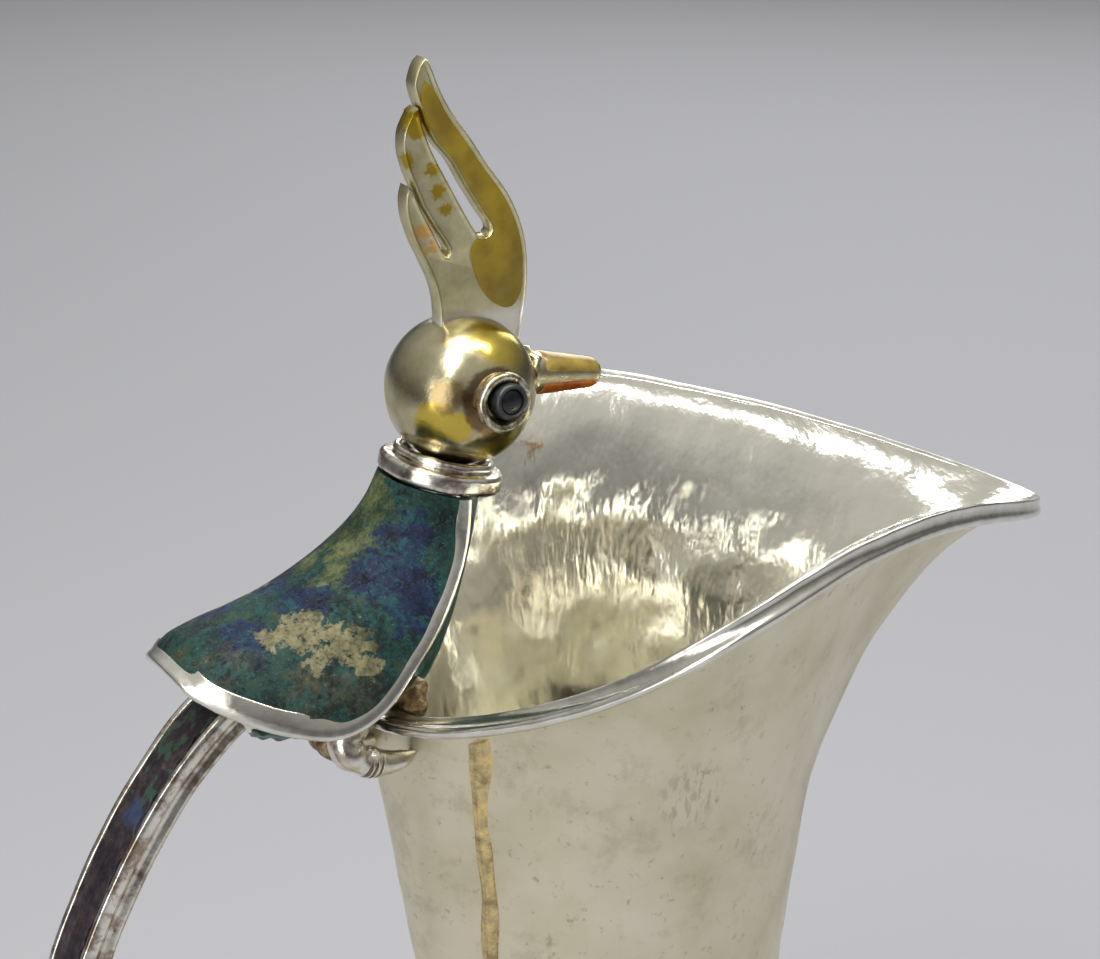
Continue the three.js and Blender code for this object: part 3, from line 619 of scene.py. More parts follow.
def stone_color(f, tone=None):
    """Navy in the middle of the wing, teal and dark green round it, olive on the back, tan lower down."""
    near = f.folded()
    drift = f.noise(5.0, 5.0, 0.62)
    if tone is not None:
        spread = f.maths("MULTIPLY", f.maths("SUBTRACT", tone, 0.5), 0.5)
        drift = f.maths("ADD", drift, spread)
    grain = f.noise(0.9, 5.0, 0.72)
    mixed = f.maths("ADD", f.maths("MULTIPLY", drift, 0.62), f.maths("MULTIPLY", grain, 0.38))
    blue = f.ramp(
        mixed,
        (0.38, (0.004, 0.006, 0.012)),
        (0.46, (0.008, 0.014, 0.040)),
        (0.52, (0.010, 0.022, 0.058)),
        (0.58, (0.010, 0.050, 0.062)),
        (0.66, (0.040, 0.055, 0.058)),
    )
    green = f.ramp(
        mixed,
        (0.38, (0.005, 0.008, 0.009)),
        (0.46, (0.008, 0.024, 0.020)),
        (0.52, (0.010, 0.046, 0.038)),
        (0.58, (0.030, 0.045, 0.026)),
        (0.68, (0.075, 0.068, 0.042)),
    )
    wing = f.patches(
        ((-45.4, -9.0, 237.0), 6.6, 0.7, 3.2, 4.0),
        ((-43.0, -12.6, 231.0), 5.2, 0.7, 3.2, 4.0),
        ((-40.2, -8.4, 241.0), 3.6, 0.7, 2.4, 3.0),
        ((-58.5, -5.0, 231.8), 4.6, 0.7, 3.2, 4.0),
        ((-69.0, -5.6, 228.6), 4.0, 0.7, 3.2, 4.0),
        at=near,
    )
    color = f.mix(wing, green, blue)
    low_side = f.patches(
        ((-62.0, -15.0, 221.0), 4.5, 0.8, 2.4, 3.0),
        ((-54.0, -16.4, 220.0), 4.0, 0.8, 2.4, 3.0),
        ((-73.0, -8.0, 226.0), 3.6, 0.8, 2.4, 3.0),
        at=near,
    )
    earth = f.ramp(
        mixed,
        (0.42, (0.010, 0.012, 0.010)),
        (0.54, (0.055, 0.050, 0.030)),
        (0.66, (0.15, 0.125, 0.08)),
    )
    color = f.tinted(color, low_side, 0.7, earth)
    teal = f.steps(f.noise(3.6, 6.0, 0.8), 0.53, 0.60)
    color = f.tinted(color, teal, 0.5, (0.012, 0.075, 0.072))
    back = f.patches(
        ((-43.0, 0.0, 243.0), 4.4, 0.6, 2.6, 3.0),
        ((-48.0, -1.0, 238.0), 4.2, 0.6, 2.6, 3.0),
        ((-53.0, -3.4, 235.0), 3.0, 0.6, 2.6, 3.0),
        at=near,
    )
    olive = f.ramp(
        mixed,
        (0.42, (0.018, 0.034, 0.016)),
        (0.52, (0.062, 0.082, 0.028)),
        (0.62, (0.15, 0.16, 0.07)),
    )
    color = f.tinted(color, back, 0.8, olive)
    sand = f.patches(
        ((-60.6, -9.0, 229.0), 3.6, 0.4, 2.8, 2.6),
        ((-65.4, -8.2, 228.1), 2.4, 0.4, 2.4, 2.4),
        ((-54.6, -13.2, 226.8), 3.6, 0.4, 2.8, 2.6),
        ((-58.6, -12.0, 226.4), 2.8, 0.4, 3.0, 2.4),
        ((-52.0, -15.0, 223.4), 1.8, 0.4, 2.6, 2.4),
        at=near,
    )
    holes = f.steps(f.noise(1.7, 5.0, 0.7), 0.36, 0.44)
    tan = f.ramp(
        mixed,
        (0.40, (0.060, 0.060, 0.026)),
        (0.50, (0.185, 0.165, 0.085)),
        (0.64, (0.30, 0.265, 0.155)),
    )
    return f.tinted(color, f.maths("MULTIPLY", sand, holes), 0.95, tan)


def stone_finish(name, tone=False):
    """Crushed stone set in dark resin and rubbed down, with small pits."""
    f = Finish(name, ior=1.5, specular=0.22)
    value = None
    if tone:
        node = f.nodes.new("ShaderNodeAttribute")
        node.attribute_name = "tone"
        value = node.outputs["Fac"]
    color = stone_color(f, value)
    fleck = f.steps(f.noise(0.5, 5.0, 0.75), 0.57, 0.70)
    color = f.tinted(color, fleck, 0.45, (0.16, 0.20, 0.21))
    pits = f.steps(f.noise(1.4, 6.0, 0.8), 0.54, 0.68)
    color = f.tinted(color, pits, 0.7, (0.010, 0.011, 0.014))
    rough = f.varied(f.noise(1.3, 4.0, 0.6), 0.4, 0.38)
    normal = f.bump(f.maths("SUBTRACT", 1.0, pits), 0.12, 0.7)
    normal = f.bump(f.noise(0.8, 4.0, 0.65), 0.14, 0.7, normal)
    return f.done(color, rough, normal)


def green_stone():
    """Crushed green stone with dark and olive parts."""
    f = Finish("green_stone", ior=1.5, coat=0.2)
    mixed = f.noise(2.4, 6.0, 0.7)
    color = f.ramp(
        mixed,
        (0.32, (0.008, 0.016, 0.020)),
        (0.46, (0.012, 0.060, 0.045)),
        (0.56, (0.018, 0.110, 0.080)),
        (0.68, (0.070, 0.120, 0.050)),
    )
    rough = f.varied(f.noise(1.2, 4.0, 0.6), 0.35, 0.3)
    normal = f.bump(f.noise(0.9, 4.0, 0.65), 0.14, 0.7)
    return f.done(color, rough, normal)


def tail_stone():
    """Dark purple and brown chips in the tail's groove, with a few green and blue ones."""
    f = Finish("tail_stone", ior=1.5, specular=0.35)
    mixed = f.noise(3.0, 6.0, 0.7)
    color = f.ramp(
        mixed,
        (0.34, (0.006, 0.005, 0.007)),
        (0.48, (0.020, 0.013, 0.019)),
        (0.60, (0.042, 0.028, 0.029)),
        (0.74, (0.12, 0.095, 0.085)),
    )
    high = f.steps(f.apart()["Z"], 196.0, 205.0)
    chips = f.steps(f.noise(2.6, 4.0, 0.6, f.stretched(1.0, 1.0, 0.6)), 0.5, 0.6)
    color = f.tinted(color, f.maths("MULTIPLY", chips, high), 0.7, (0.035, 0.085, 0.055))
    blue = f.patch((-85.5, -1.0, 200.5), 2.6, 0.8, 0.9, 1.4)
    color = f.tinted(color, blue, 0.7, (0.035, 0.050, 0.12))
    rough = f.varied(f.noise(1.0, 4.0, 0.6), 0.35, 0.28)
    normal = f.bump(f.noise(0.9, 5.0, 0.7), 0.2, 0.8)
    return f.done(color, rough, normal)


def enamel(name, deep, light, rough_low):
    """Old enamel, cloudy and pitted."""
    f = Finish(name, ior=1.5, coat=0.15)
    color = f.ramp(f.noise(4.0, 4.0, 0.6), (0.34, deep), (0.66, light))
    pits = f.steps(f.noise(0.7, 4.0, 0.7), 0.66, 0.72)
    color = f.tinted(color, pits, 0.6, (0.10, 0.07, 0.02))
    rough = f.varied(f.noise(2.0, 4.0, 0.6), 0.3, rough_low)
    normal = f.bump(f.noise(1.6, 3.0, 0.6), 0.05, 0.6)
    return f.done(color, rough, normal)


def gold_braze():
    """The brass run down the neck's seam, brighter in places."""
    f = Finish("gold_braze", metallic=1.0)
    color = f.ramp(
        f.noise(3.0, 4.0, 0.65),
        (0.36, (0.40, 0.31, 0.14)),
        (0.5, (0.66, 0.53, 0.27)),
        (0.66, (0.95, 0.70, 0.28)),
    )
    rough = f.varied(f.noise(1.4, 4.0, 0.6), 0.24, 0.16)
    normal = f.bump(f.noise(1.6, 3.0, 0.6), 0.16, 0.7)
    return f.done(color, rough, normal)


def solder_brown():
    """Lumps of solder under brown tarnish."""
    f = Finish("solder_brown", metallic=0.85)
    color = f.ramp(
        f.noise(1.8, 5.0, 0.7),
        (0.34, (0.09, 0.055, 0.03)),
        (0.52, (0.26, 0.18, 0.09)),
        (0.70, (0.50, 0.43, 0.28)),
    )
    rough = f.varied(f.noise(1.0, 4.0, 0.6), 0.3, 0.3)
    normal = f.bump(f.noise(1.0, 4.0, 0.65), 0.22, 0.8)
    return f.done(color, rough, normal)


def feet_silver():
    """Silver with purple and brown heat marks, and painted shade that darkens them high on the claws,
    towards the tail side, under the body.
    """
    f = Finish("feet_silver", metallic=1.0)
    color = f.ramp(f.noise(2.2, 4.0, 0.6), (0.34, (0.62, 0.57, 0.45)), (0.62, (0.84, 0.81, 0.73)))
    # Painted shade: these dark blotches are kept only high on the claws, under the bird's body, so the heat
    # marks stand in for the shade that falls there.
    heat_marks_and_shade = f.steps(f.noise(3.4, 4.0, 0.65), 0.46, 0.62)
    high = f.steps(f.apart()["Z"], 203.5, 208.5)
    color = f.tinted(color, f.maths("MULTIPLY", heat_marks_and_shade, high), 0.85, (0.20, 0.12, 0.10))
    cuts = f.most(*(
        f.patch((x, CLAW_CUT["side"], CLAW_CUT["middle"]), 0.30, 0.1, 0.1, 1.0, f.slanted(x))
        for x in (-50.6, -49.6, -48.4)
    ))
    color = f.tinted(color, cuts, 0.85, (0.09, 0.06, 0.04))
    rough = f.varied(f.noise(1.6, 4.0, 0.6), 0.2, 0.14)
    normal = f.bump(f.noise(2.4, 3.0, 0.6), 0.10, 0.6)
    normal = f.bump(f.maths("SUBTRACT", 1.0, cuts), 0.35, 0.9, normal)
    return f.done(color, rough, normal)


def eye_silver():
    """Silver cups with brown left in their hollows."""
    f = Finish("eye_silver", metallic=1.0)
    color = f.ramp(
        f.noise(1.6, 5.0, 0.7),
        (0.36, (0.16, 0.12, 0.07)),
        (0.5, (0.50, 0.44, 0.30)),
        (0.64, (0.82, 0.79, 0.68)),
    )
    rough = f.varied(f.noise(0.9, 4.0, 0.6), 0.3, 0.15)
    normal = f.bump(f.noise(1.0, 4.0, 0.6), 0.12, 0.7)
    return f.done(color, rough, normal)


def dark_bead(name, deep, light, rough_low):
    """A polished stone bead."""
    f = Finish(name, ior=1.5, coat=0.4)
    color = f.ramp(f.noise(1.2, 4.0, 0.65), (0.36, deep), (0.66, light))
    rough = f.varied(f.noise(0.9, 3.0, 0.6), 0.25, rough_low)
    normal = f.bump(f.noise(0.9, 3.0, 0.6), 0.05, 0.6)
    return f.done(color, rough, normal)


SILVER = hammered_silver()
INSIDE = polished_inside()
TRIM = bright_silver("bright_silver", 0.0)
GRIMY = bright_silver("grimy_silver", 1.15)
BRASS = worn_brass()
CREST_METAL = crest_metal()
BEZEL = bezel_metal()
STONE = stone_finish("crushed_stone")
CHIPS = stone_finish("stone_chips", tone=True)
GREEN = green_stone()
TAIL_STONE = tail_stone()
YELLOW = enamel("olive_enamel", (0.190, 0.125, 0.003), (0.300, 0.205, 0.007), 0.36)
BEAK_YELLOW = enamel("beak_yellow", (0.20, 0.13, 0.02), (0.42, 0.30, 0.06), 0.08)
AMBER = enamel("beak_amber", (0.36, 0.07, 0.005), (0.62, 0.17, 0.01), 0.06)
BRAZE = gold_braze()
SOLDER = solder_brown()
FEET = feet_silver()
EYE_SILVER = eye_silver()
GREY_BEAD = dark_bead("grey_bead", (0.006, 0.008, 0.008), (0.030, 0.036, 0.033), 0.34)
BLACK_BEAD = dark_bead("black_bead", (0.002, 0.002, 0.003), (0.010, 0.010, 0.012), 0.12)


# ---- vessel ----
def cosines(terms, t):
    """A sum of cosines of 0, 1, 2... times an angle."""
    return sum(a * np.cos(k * t) for k, a in enumerate(terms))


def rim_point(t):
    """The mouth's edge; angle 0 is the spout."""
    x = cosines(MOUTH["x"], t)
    y = sum(a * np.sin((k + 1) * t) for k, a in enumerate(MOUTH["y"]))
    z = cosines(MOUTH["z"], t)
    return np.stack([x, y, z], -1)


def bezier(p, w):
    """The radius and height at w on a cubic curve with four control points."""
    q = 1 - w
    share = [q**3, 3 * q * q * w, 3 * q * w * w, w**3]
    return [sum(s * point[k] for s, point in zip(share, p)) for k in (0, 1)]


def wall_point(t, s):
    """The outer wall at mouth angle t: s runs 0..1 up the foot, 1..2 the shoulder, 2..3 the flare."""
    t, s = np.broadcast_arrays(np.asarray(t, float), np.asarray(s, float))
    rim = rim_point(t)
    reach = np.hypot(rim[..., 0], rim[..., 1])
    height = rim[..., 2]
    lean = np.radians(cosines(FLARE["lean"], t))
    base, floor = BASE["radius"], BASE["floor"]
    belly, full = BELLY["radius"], BELLY["height"]
    waist, narrow = WAIST["radius"], WAIST["height"]
    under = waist + cosines(FLARE["spread"], t) * (reach - waist)
    foot = [
        (base, floor), (base + BASE["curl"], floor + BASE["lift"]),
        (belly, BELLY["low_pull"]), (belly, full),
    ]
    shoulder = [(belly, full), (belly, BELLY["high_pull"]), (waist, WAIST["low_pull"]), (waist, narrow)]
    flare = [
        (waist, narrow),
        (waist, narrow + FLARE["start"] * (height - narrow)),
        (under, height - (reach - under) * np.tan(lean)),
        (reach, height),
    ]
    r, z = np.zeros(t.shape), np.zeros(t.shape)
    for k, part in enumerate((foot, shoulder, flare)):
        here = (s >= k) & ((s < k + 1) | (k == 2))
        pr, pz = bezier(part, s - k)
        r, z = np.where(here, pr, r), np.where(here, pz, z)
    return np.stack([r * rim[..., 0] / reach, r * rim[..., 1] / reach, z], -1)


def wall_frame(t, s):
    """Point, outward normal and upward slope of the outer wall."""
    e = 1e-3
    low = np.clip(np.asarray(s, float) - e, 0, 3)
    high = np.clip(np.asarray(s, float) + e, 0, 3)
    up = unit(wall_point(t, high) - wall_point(t, low))
    around = wall_point(np.asarray(t) + e, s) - wall_point(np.asarray(t) - e, s)
    return wall_point(t, s), unit(np.cross(around, up)), up


def off_wall(t, s, out):
    """A point of the wall moved outwards."""
    at, normal, _ = wall_frame(t, s)
    return at + normal * np.asarray(out)[..., None]


def make_body():
    """The hammered sheet: its outer and inner faces waver apart from each other."""
    around, rise = 240, 112
    t = circle(around)[:, None]
    s = 3 * (1 - (1 - np.linspace(0, 1, rise)) ** 1.12)[None, :]
    at, normal, _ = wall_frame(t + 0 * s, s + 0 * t)
    beat = 0.10 * ripple(at, 24, 5) + 0.05 * ripple(at, 9, 6)
    outer = at + normal * beat[..., None]
    inner = at - normal * (SHEET + 0.12 * ripple(at, 15, 7) + 0.06 * ripple(at, 7, 8))[..., None]
    rows = np.concatenate([outer, inner[:, ::-1]], axis=1)
    faces = quads(around, 2 * rise, wrap_rows=True, wrap_cols=True)
    loop = 2 * rise
    which = [int(rise - 1 <= k % loop < loop - 1) for k in range(len(faces))]
    piece("vessel_wall", (rows.reshape(-1, 3), faces), [SILVER, INSIDE], ["body_shell"], which)


def make_rim():
    """A thick strip folded over the wall's edge: hollow on top, with a rounded lip below."""
    corners = [
        (-1.35, -1.2), (-1.35, 0.9), (-1.0, 1.15), (-0.3, 0.72), (0.7, 0.66),
        (1.5, 1.0), (2.2, 0.75), (2.5, 0.0), (2.3, -0.75), (1.6, -1.25), (0.4, -1.5), (-0.3, -1.5),
    ]
    loop = rounded(corners, 0.45, 3)
    count = 420
    t = circle(count)[:, None]
    size = 0.74 + 0.26 * np.clip(np.abs(np.sin(t / 2)) * 2.2, 0, 1)
    out = size * loop[None, :, 0] - 0.2 * (1 - size)
    up = size * loop[None, :, 1] + 0.7
    at, normal, slope = wall_frame(t + 0 * out, 3.0 + 0 * out)
    points = at + normal * out[..., None] + slope * up[..., None]
    points += normal * (0.08 * ripple(at, 24, 11) + 0.025 * ripple(at, 9, 12))[..., None]
    faces = quads(count, len(loop), wrap_rows=True, wrap_cols=True)
    piece("rolled_rim", (points.reshape(-1, 3), faces), TRIM, ["rim_band"])


def make_base():
    """A flat plate inside a foot wire."""
    r = BASE["radius"] + BASE["plate_edge"]
    floor, w = BASE["floor"], BASE["wire"]
    disc = [
        (0, 0.0), (r - 1.6, 0.0), (r - 0.7, 0.15), (r, 0.8),
        (r, floor - 0.3), (r - 1.6, floor - 0.1), (0, floor - 0.1),
    ]
    piece("bottom_plate", turned_body(disc, 128), SILVER, ["base_disc"])
    wire = [(r + 0.3, 0), (r + w + 0.6, 0), (r + w + 1.3, 1.7), (r + w + 0.6, 3.4), (r + 0.3, 3.4)]
    piece("foot_wire", turned_ring(rounded(wire, 0.8, 4), 160), TRIM, ["foot_ring"])


def make_seam():
    """A crowned run of brass that wanders down the neck from the rim."""
    s = np.linspace(SEAM["top"], SEAM["bottom"], 260)[:, None]
    across = np.linspace(-1, 1, 9)[None, :]
    line = -(SEAM["angle"] + SEAM["turn"] * (1 - np.exp(-(SEAM["top"] - s) / SEAM["settle"])))
    spot = wall_point(line, s)
    wide = SEAM["half_width"] + 0.25 * ripple(spot, 14, 21)
    t = line + across * wide / SEAM["neck_radius"] + 0.006 * ripple(spot, 22, 22)
    crown = (1 - across**2) * (SEAM["crown"] + 0.14 * ripple(spot, 10, 23))
    outer = off_wall(t, s + 0 * t, np.maximum(crown, 0.0) + 0.02)
    inner = off_wall(t, s + 0 * t, 0 * t - 0.5)
    piece("neck_braze", slab(outer, inner), BRAZE, ["neck_seam"])


# ---- the bird's cape, border and torso ----
SPINE = Path([
    (-40, 0, 247), (-42.4, 0, 243), (-45.4, 0, 239.2), (-49.4, 0, 235.7), (-54.4, 0, 232.8),
    (-60, 0, 230.5), (-65.8, 0, 228.9), (-71.2, 0, 227.7), (-75.8, 0, 226.6), (-79, 0, 225.6),
])
WING_EDGE = Path([
    (-31.7, 8.6, 244.9), (-32.6, 9.2, 239), (-35.4, 11.2, 233.4), (-40.4, 13.8, 227),
    (-46.2, 15.6, 221.4), (-52.2, 16.8, 216.5), (-58.9, 17, 214.6), (-66.4, 15.4, 216.4),
    (-73.2, 11.6, 219.4), (-78.2, 6.8, 222.2),
])


def cape_point(u, v):
    """The cape from neck to rear, u 0 to 1, and from near edge to far, v -1 to 1."""
    u, v = np.broadcast_arrays(np.asarray(u, float), np.asarray(v, float))
    spine, edge = SPINE.at(u), WING_EDGE.at(u)
    drop = (1 - np.cos(v * CAPE_SWEEP)) / (1 - math.cos(CAPE_SWEEP))
    x = spine[..., 0] + (edge[..., 0] - spine[..., 0]) * drop
    y = edge[..., 1] * np.sin(v * CAPE_SWEEP) / math.sin(CAPE_SWEEP)
    z = spine[..., 2] + (edge[..., 2] - spine[..., 2]) * drop
    return np.stack([x, y, z], -1)


def cape_normal(u, v):
    """The cape's outward direction."""
    e = 2e-3
    du = cape_point(np.minimum(1, np.asarray(u) + e), v) - cape_point(np.maximum(0, np.asarray(u) - e), v)
    dv = cape_point(u, np.asarray(v) + e) - cape_point(u, np.asarray(v) - e)
    return unit(np.cross(du, dv))


def scatter_tree(name):
    """Geometry Nodes: flat angular chips spread over a surface, each with its own tone."""
    tree = bpy.data.node_groups.new(name, "GeometryNodeTree")
    face = tree.interface
    face.new_socket("Geometry", in_out="INPUT", socket_type="NodeSocketGeometry")
    for label, kind, value in (
        ("Chips per square metre", "NodeSocketFloat", 400000.0),
        ("Smallest chip", "NodeSocketFloat", 0.0004),
        ("Largest chip", "NodeSocketFloat", 0.0012),
        ("Chip thickness", "NodeSocketFloat", 0.0003),
        ("Seed", "NodeSocketInt", 3),
        ("Stone", "NodeSocketMaterial", None),
    ):
        socket = face.new_socket(label, in_out="INPUT", socket_type=kind)
        if value is not None:
            socket.default_value = value
    face.new_socket("Geometry", in_out="OUTPUT", socket_type="NodeSocketGeometry")
    nodes, links = tree.nodes, tree.links
    given = nodes.new("NodeGroupInput")
    result = nodes.new("NodeGroupOutput")
    spread = nodes.new("GeometryNodeDistributePointsOnFaces")
    chip = nodes.new("GeometryNodeMeshCone")
    chip.fill_type = "NGON"
    chip.inputs["Vertices"].default_value = 6
    chip.inputs["Radius Top"].default_value = 0.72
    chip.inputs["Radius Bottom"].default_value = 1.0
    chip.inputs["Depth"].default_value = 1.0
    place = nodes.new("GeometryNodeInstanceOnPoints")
    spin = nodes.new("FunctionNodeRandomValue")
    spin.data_type = "FLOAT"
    spin.inputs[3].default_value = 2 * math.pi
    turn = nodes.new("FunctionNodeRotateEuler")
    turn.space = "LOCAL"
    about = nodes.new("ShaderNodeCombineXYZ")
    wide = nodes.new("FunctionNodeRandomValue")
    wide.data_type = "FLOAT"
    slim = nodes.new("FunctionNodeRandomValue")
    slim.data_type = "FLOAT"
    slim.inputs[2].default_value = 0.5
    slim.inputs[3].default_value = 1.0
    narrower = nodes.new("ShaderNodeMath")
    narrower.operation = "MULTIPLY"
    size = nodes.new("ShaderNodeCombineXYZ")
    tone = nodes.new("FunctionNodeRandomValue")
    tone.data_type = "FLOAT"
    keep_tone = nodes.new("GeometryNodeStoreNamedAttribute")
    keep_tone.data_type = "FLOAT"
    keep_tone.domain = "INSTANCE"
    keep_tone.inputs["Name"].default_value = "tone"
    real = nodes.new("GeometryNodeRealizeInstances")
    coat = nodes.new("GeometryNodeSetMaterial")
    links.new(given.outputs["Geometry"], spread.inputs["Mesh"])
    links.new(given.outputs["Chips per square metre"], spread.inputs["Density"])
    links.new(given.outputs["Seed"], spread.inputs["Seed"])
    links.new(spread.outputs["Points"], place.inputs["Points"])
    links.new(chip.outputs["Mesh"], place.inputs["Instance"])
    links.new(spread.outputs["Rotation"], turn.inputs["Rotation"])
    links.new(spin.outputs[1], about.inputs["Z"])
    links.new(about.outputs[0], turn.inputs["Rotate By"])
    links.new(turn.outputs[0], place.inputs["Rotation"])
    links.new(given.outputs["Smallest chip"], wide.inputs[2])
    links.new(given.outputs["Largest chip"], wide.inputs[3])
    links.new(given.outputs["Seed"], wide.inputs["Seed"])
    links.new(wide.outputs[1], size.inputs["X"])
    links.new(wide.outputs[1], narrower.inputs[0])
    links.new(slim.outputs[1], narrower.inputs[1])
    links.new(narrower.outputs[0], size.inputs["Y"])
    links.new(given.outputs["Chip thickness"], size.inputs["Z"])
    links.new(size.outputs[0], place.inputs["Scale"])
    links.new(place.outputs["Instances"], keep_tone.inputs["Geometry"])
    links.new(tone.outputs[1], keep_tone.inputs["Value"])
    links.new(keep_tone.outputs["Geometry"], real.inputs["Geometry"])
    links.new(real.outputs["Geometry"], coat.inputs["Geometry"])
    links.new(given.outputs["Stone"], coat.inputs["Material"])
    links.new(coat.outputs["Geometry"], result.inputs["Geometry"])
    return tree


def scatter_chips(name, over, tree, slot, **inputs):
    """Spreads chips over a grid of points and makes them a piece of their own."""
    grid = np.asarray(over)
    n, m = grid.shape[:2]
    mesh = bpy.data.meshes.new(name)
    mesh.from_pydata((grid.reshape(-1, 3) * MM).tolist(), [], quads(n, m))
    obj = bpy.data.objects.new(name, mesh)
    bpy.context.scene.collection.objects.link(obj)
    live = obj.modifiers.new("chips", "NODES")
    live.node_group = tree
    sockets = {s.name: s.identifier for s in tree.interface.items_tree if s.in_out == "INPUT"}
    for label, value in inputs.items():
        live[sockets[label.replace("_", " ")]] = value
    flatten_modifiers(obj)
    return finished(obj, sharp=math.radians(25))


def make_cape():
    """The stone face, dipping under its border, with chips spread over it."""
    u = np.linspace(0.0, 0.995, 130)[:, None]
    v = np.linspace(-0.965, 0.965, 120)[None, :]
    at, normal = cape_point(u, v), cape_normal(u + 0 * v, v + 0 * u)
    at = lowered(at, u + 0 * v, v + 0 * u)
    rough = 0.10 * ripple(at, 5, 31) + 0.06 * ripple(at, 2.2, 32) + 0.12
    margin = np.maximum((np.abs(v) - 0.91 + 0.1 * u) / 0.06, (u - 0.93) / 0.04)
    rough = rough - 0.85 * np.clip(margin, 0, 1)
    top = at + normal * rough[..., None]
    piece("cape_stone_face", slab(top, at - normal * 1.5), STONE, ["cape_stone"])
    tree = scatter_tree("stone chips")
    inside = (slice(6, -6), slice(7, -7))
    scatter_chips(
        "cape_chips", top[inside] - normal[inside] * 0.04, tree, "mosaic",
        Chips_per_square_metre=3.5e5, Seed=4, Stone=CHIPS,
    )
    return tree


def lowered(points, u, v):
    """The cape's last few millimetres eased down to its border."""
    drop = 1.5 * np.clip((np.asarray(u) - 0.88) / 0.12, 0, 1) ** 1.6 * np.cos(np.asarray(v) * math.pi / 2)
    return points - drop[..., None] * np.array([0, 0, 1])


def border_line(count=330):
    """The cape's edge from one front corner round the rear to the other, with its corners eased."""
    u = np.linspace(0, 1, 150)
    v = np.linspace(-1, 1, 40)[1:-1]
    side, last = 1 + 0 * u, 1 + 0 * v
    rear = lowered(cape_point(last, v), last, v) - np.outer(BORDER["bulge"] * (1 - v**2), [1, 0, 0])
    at = np.vstack([cape_point(u, -side), rear, cape_point(u, side)[::-1]])
    normal = np.vstack([cape_normal(u, -side), cape_normal(last, v), cape_normal(u, side)[::-1]])
    wider = np.clip(np.r_[u, last, u[::-1]] * 1.7 - 0.2, 0, 1) ** 1.5
    width = BORDER["front_width"] + BORDER["rear_gain"] * wider
    run = np.r_[0, np.cumsum(np.linalg.norm(np.diff(at, axis=0), axis=1))]
    even = np.linspace(0, run[-1], count)
    table = np.column_stack([at, normal, width])
    table = np.column_stack([np.interp(even, run, column) for column in table.T])
    reach = 9
    share = np.exp(-(np.arange(-reach, reach + 1) / 4.0) ** 2)
    padded = np.vstack([2 * table[0] - table[reach:0:-1], table, 2 * table[-1] - table[-2:-reach - 2:-1]])
    soft = np.column_stack([np.convolve(column, share / share.sum(), "valid") for column in padded.T])
    return soft[:, :3], unit(soft[:, 3:6]), soft[:, 6]


def make_border():
    """Two steps of silver: a wide sloping face inside and a rounded wire outside and below."""
    at, normal, width = border_line()
    ahead = unit(np.gradient(at, axis=0))
    inward = unit(np.cross(normal, ahead))
    rings = []
    for k in range(len(at)):
        w = width[k]
        loop = rounded([
            (w, -1.2), (w, 0.22), (w - 0.45, 0.62), (0.75, 0.68), (0.1, 0.34), (-0.02, -0.12),
            (-0.5, -0.12), (-0.95, -0.5), (-0.95, -1.25), (-0.4, -1.6), (0.8, -1.6),
        ], 0.3, 3)
        wave = 0.05 * ripple(at[k], 9, 41)
        rings.append(at[k] + np.outer(loop[:, 0], inward[k]) + np.outer(loop[:, 1] + wave, normal[k]))
    piece("cape_border", tube(rings), TRIM, ["cape_band"])


TORSO = {
    "front": Path([(-26.8, 244.2), (-28, 238.6), (-30.4, 231.2), (-33.4, 223.8), (-37.4, 216.6),
                   (-42, 211.4), (-50, 209.4), (-60, 208.9), (-67.4, 210.4)]),
    "back": Path([(-39.4, 246.6), (-41.6, 241.8), (-45.6, 236.6), (-51, 232.4), (-57.6, 229.2),
                  (-63.6, 227), (-69, 225.4), (-73, 224.2), (-75, 222.6)]),
    "half": Path([(7.4,), (8,), (10,), (12.2,), (13.8,), (14,), (12.8,), (10,), (6.4,)]),
}


def torso_ring(u, angle, grow=0.0, back_in=0.0):
    """A ring round the torso; angle 0 is its front, and `back_in` draws its back forwards."""
    front, back, half = (TORSO[k].at(u) for k in ("front", "back", "half"))
    back = back + (front - back) * back_in
    middle, reach = (front + back) / 2, (front - back) / 2
    length = np.linalg.norm(reach)
    c = np.cos(angle)[:, None] * (length + grow) / length
    xz = middle + reach * c
    return np.stack([xz[:, 0], (half[0] + grow) * np.sin(angle), xz[:, 1]], -1)


def make_torso(tree):
    """The silver body and the green stone laid over its breast and under its belly."""
    angle = circle(72)
    rings = [torso_ring(u, angle, 0.0, 0.10) for u in np.linspace(0, 1, 60)]
    piece("torso", tube(rings), TRIM, ["bird_torso"])
    across = np.linspace(-1.25, 1.25, 60)
    breast = [torso_ring(u, across, 1.3) for u in np.linspace(0.0, 0.52, 80)]
    inner = [torso_ring(u, across, -0.3) for u in np.linspace(0.0, 0.52, 80)]
    breast = np.array(breast) + 0.12 * ripple(breast, 2.4, 51)[..., None]
    piece("breast_stone_face", slab(breast, inner), GREEN, ["breast_stone"])
    across = np.linspace(-0.95, 0.95, 50)
    belly = [torso_ring(u, across, 1.0) for u in np.linspace(0.70, 0.99, 60)]
    inner = [torso_ring(u, across, -0.3) for u in np.linspace(0.70, 0.99, 60)]
    belly = np.array(belly) + 0.14 * ripple(belly, 2.4, 52)[..., None]
    piece("belly_stone_face", slab(belly, inner), GREEN, ["belly_stone"])
    scatter_chips(
        "breast_chips", breast[4:-4, 4:-4], tree, "green",
        Chips_per_square_metre=2.5e5, Seed=9, Stone=GREEN,
    )


# ---- tail ----
TAIL_LINE = Path([
    (-67, 0, 216.6), (-73, 0, 212.2), (-78.8, 0, 206.4), (-86, 0, 196.8), (-93.4, 0, 183.6),
    (-99.6, 0, 168.2), (-103.8, 0, 150), (-105.2, 0, 131), (-102.3, 0, 112), (-94.8, 0, 95.2),
    (-82.6, 0, 82), (-68.4, 0, 73.6), (-55, 0, 69),
])


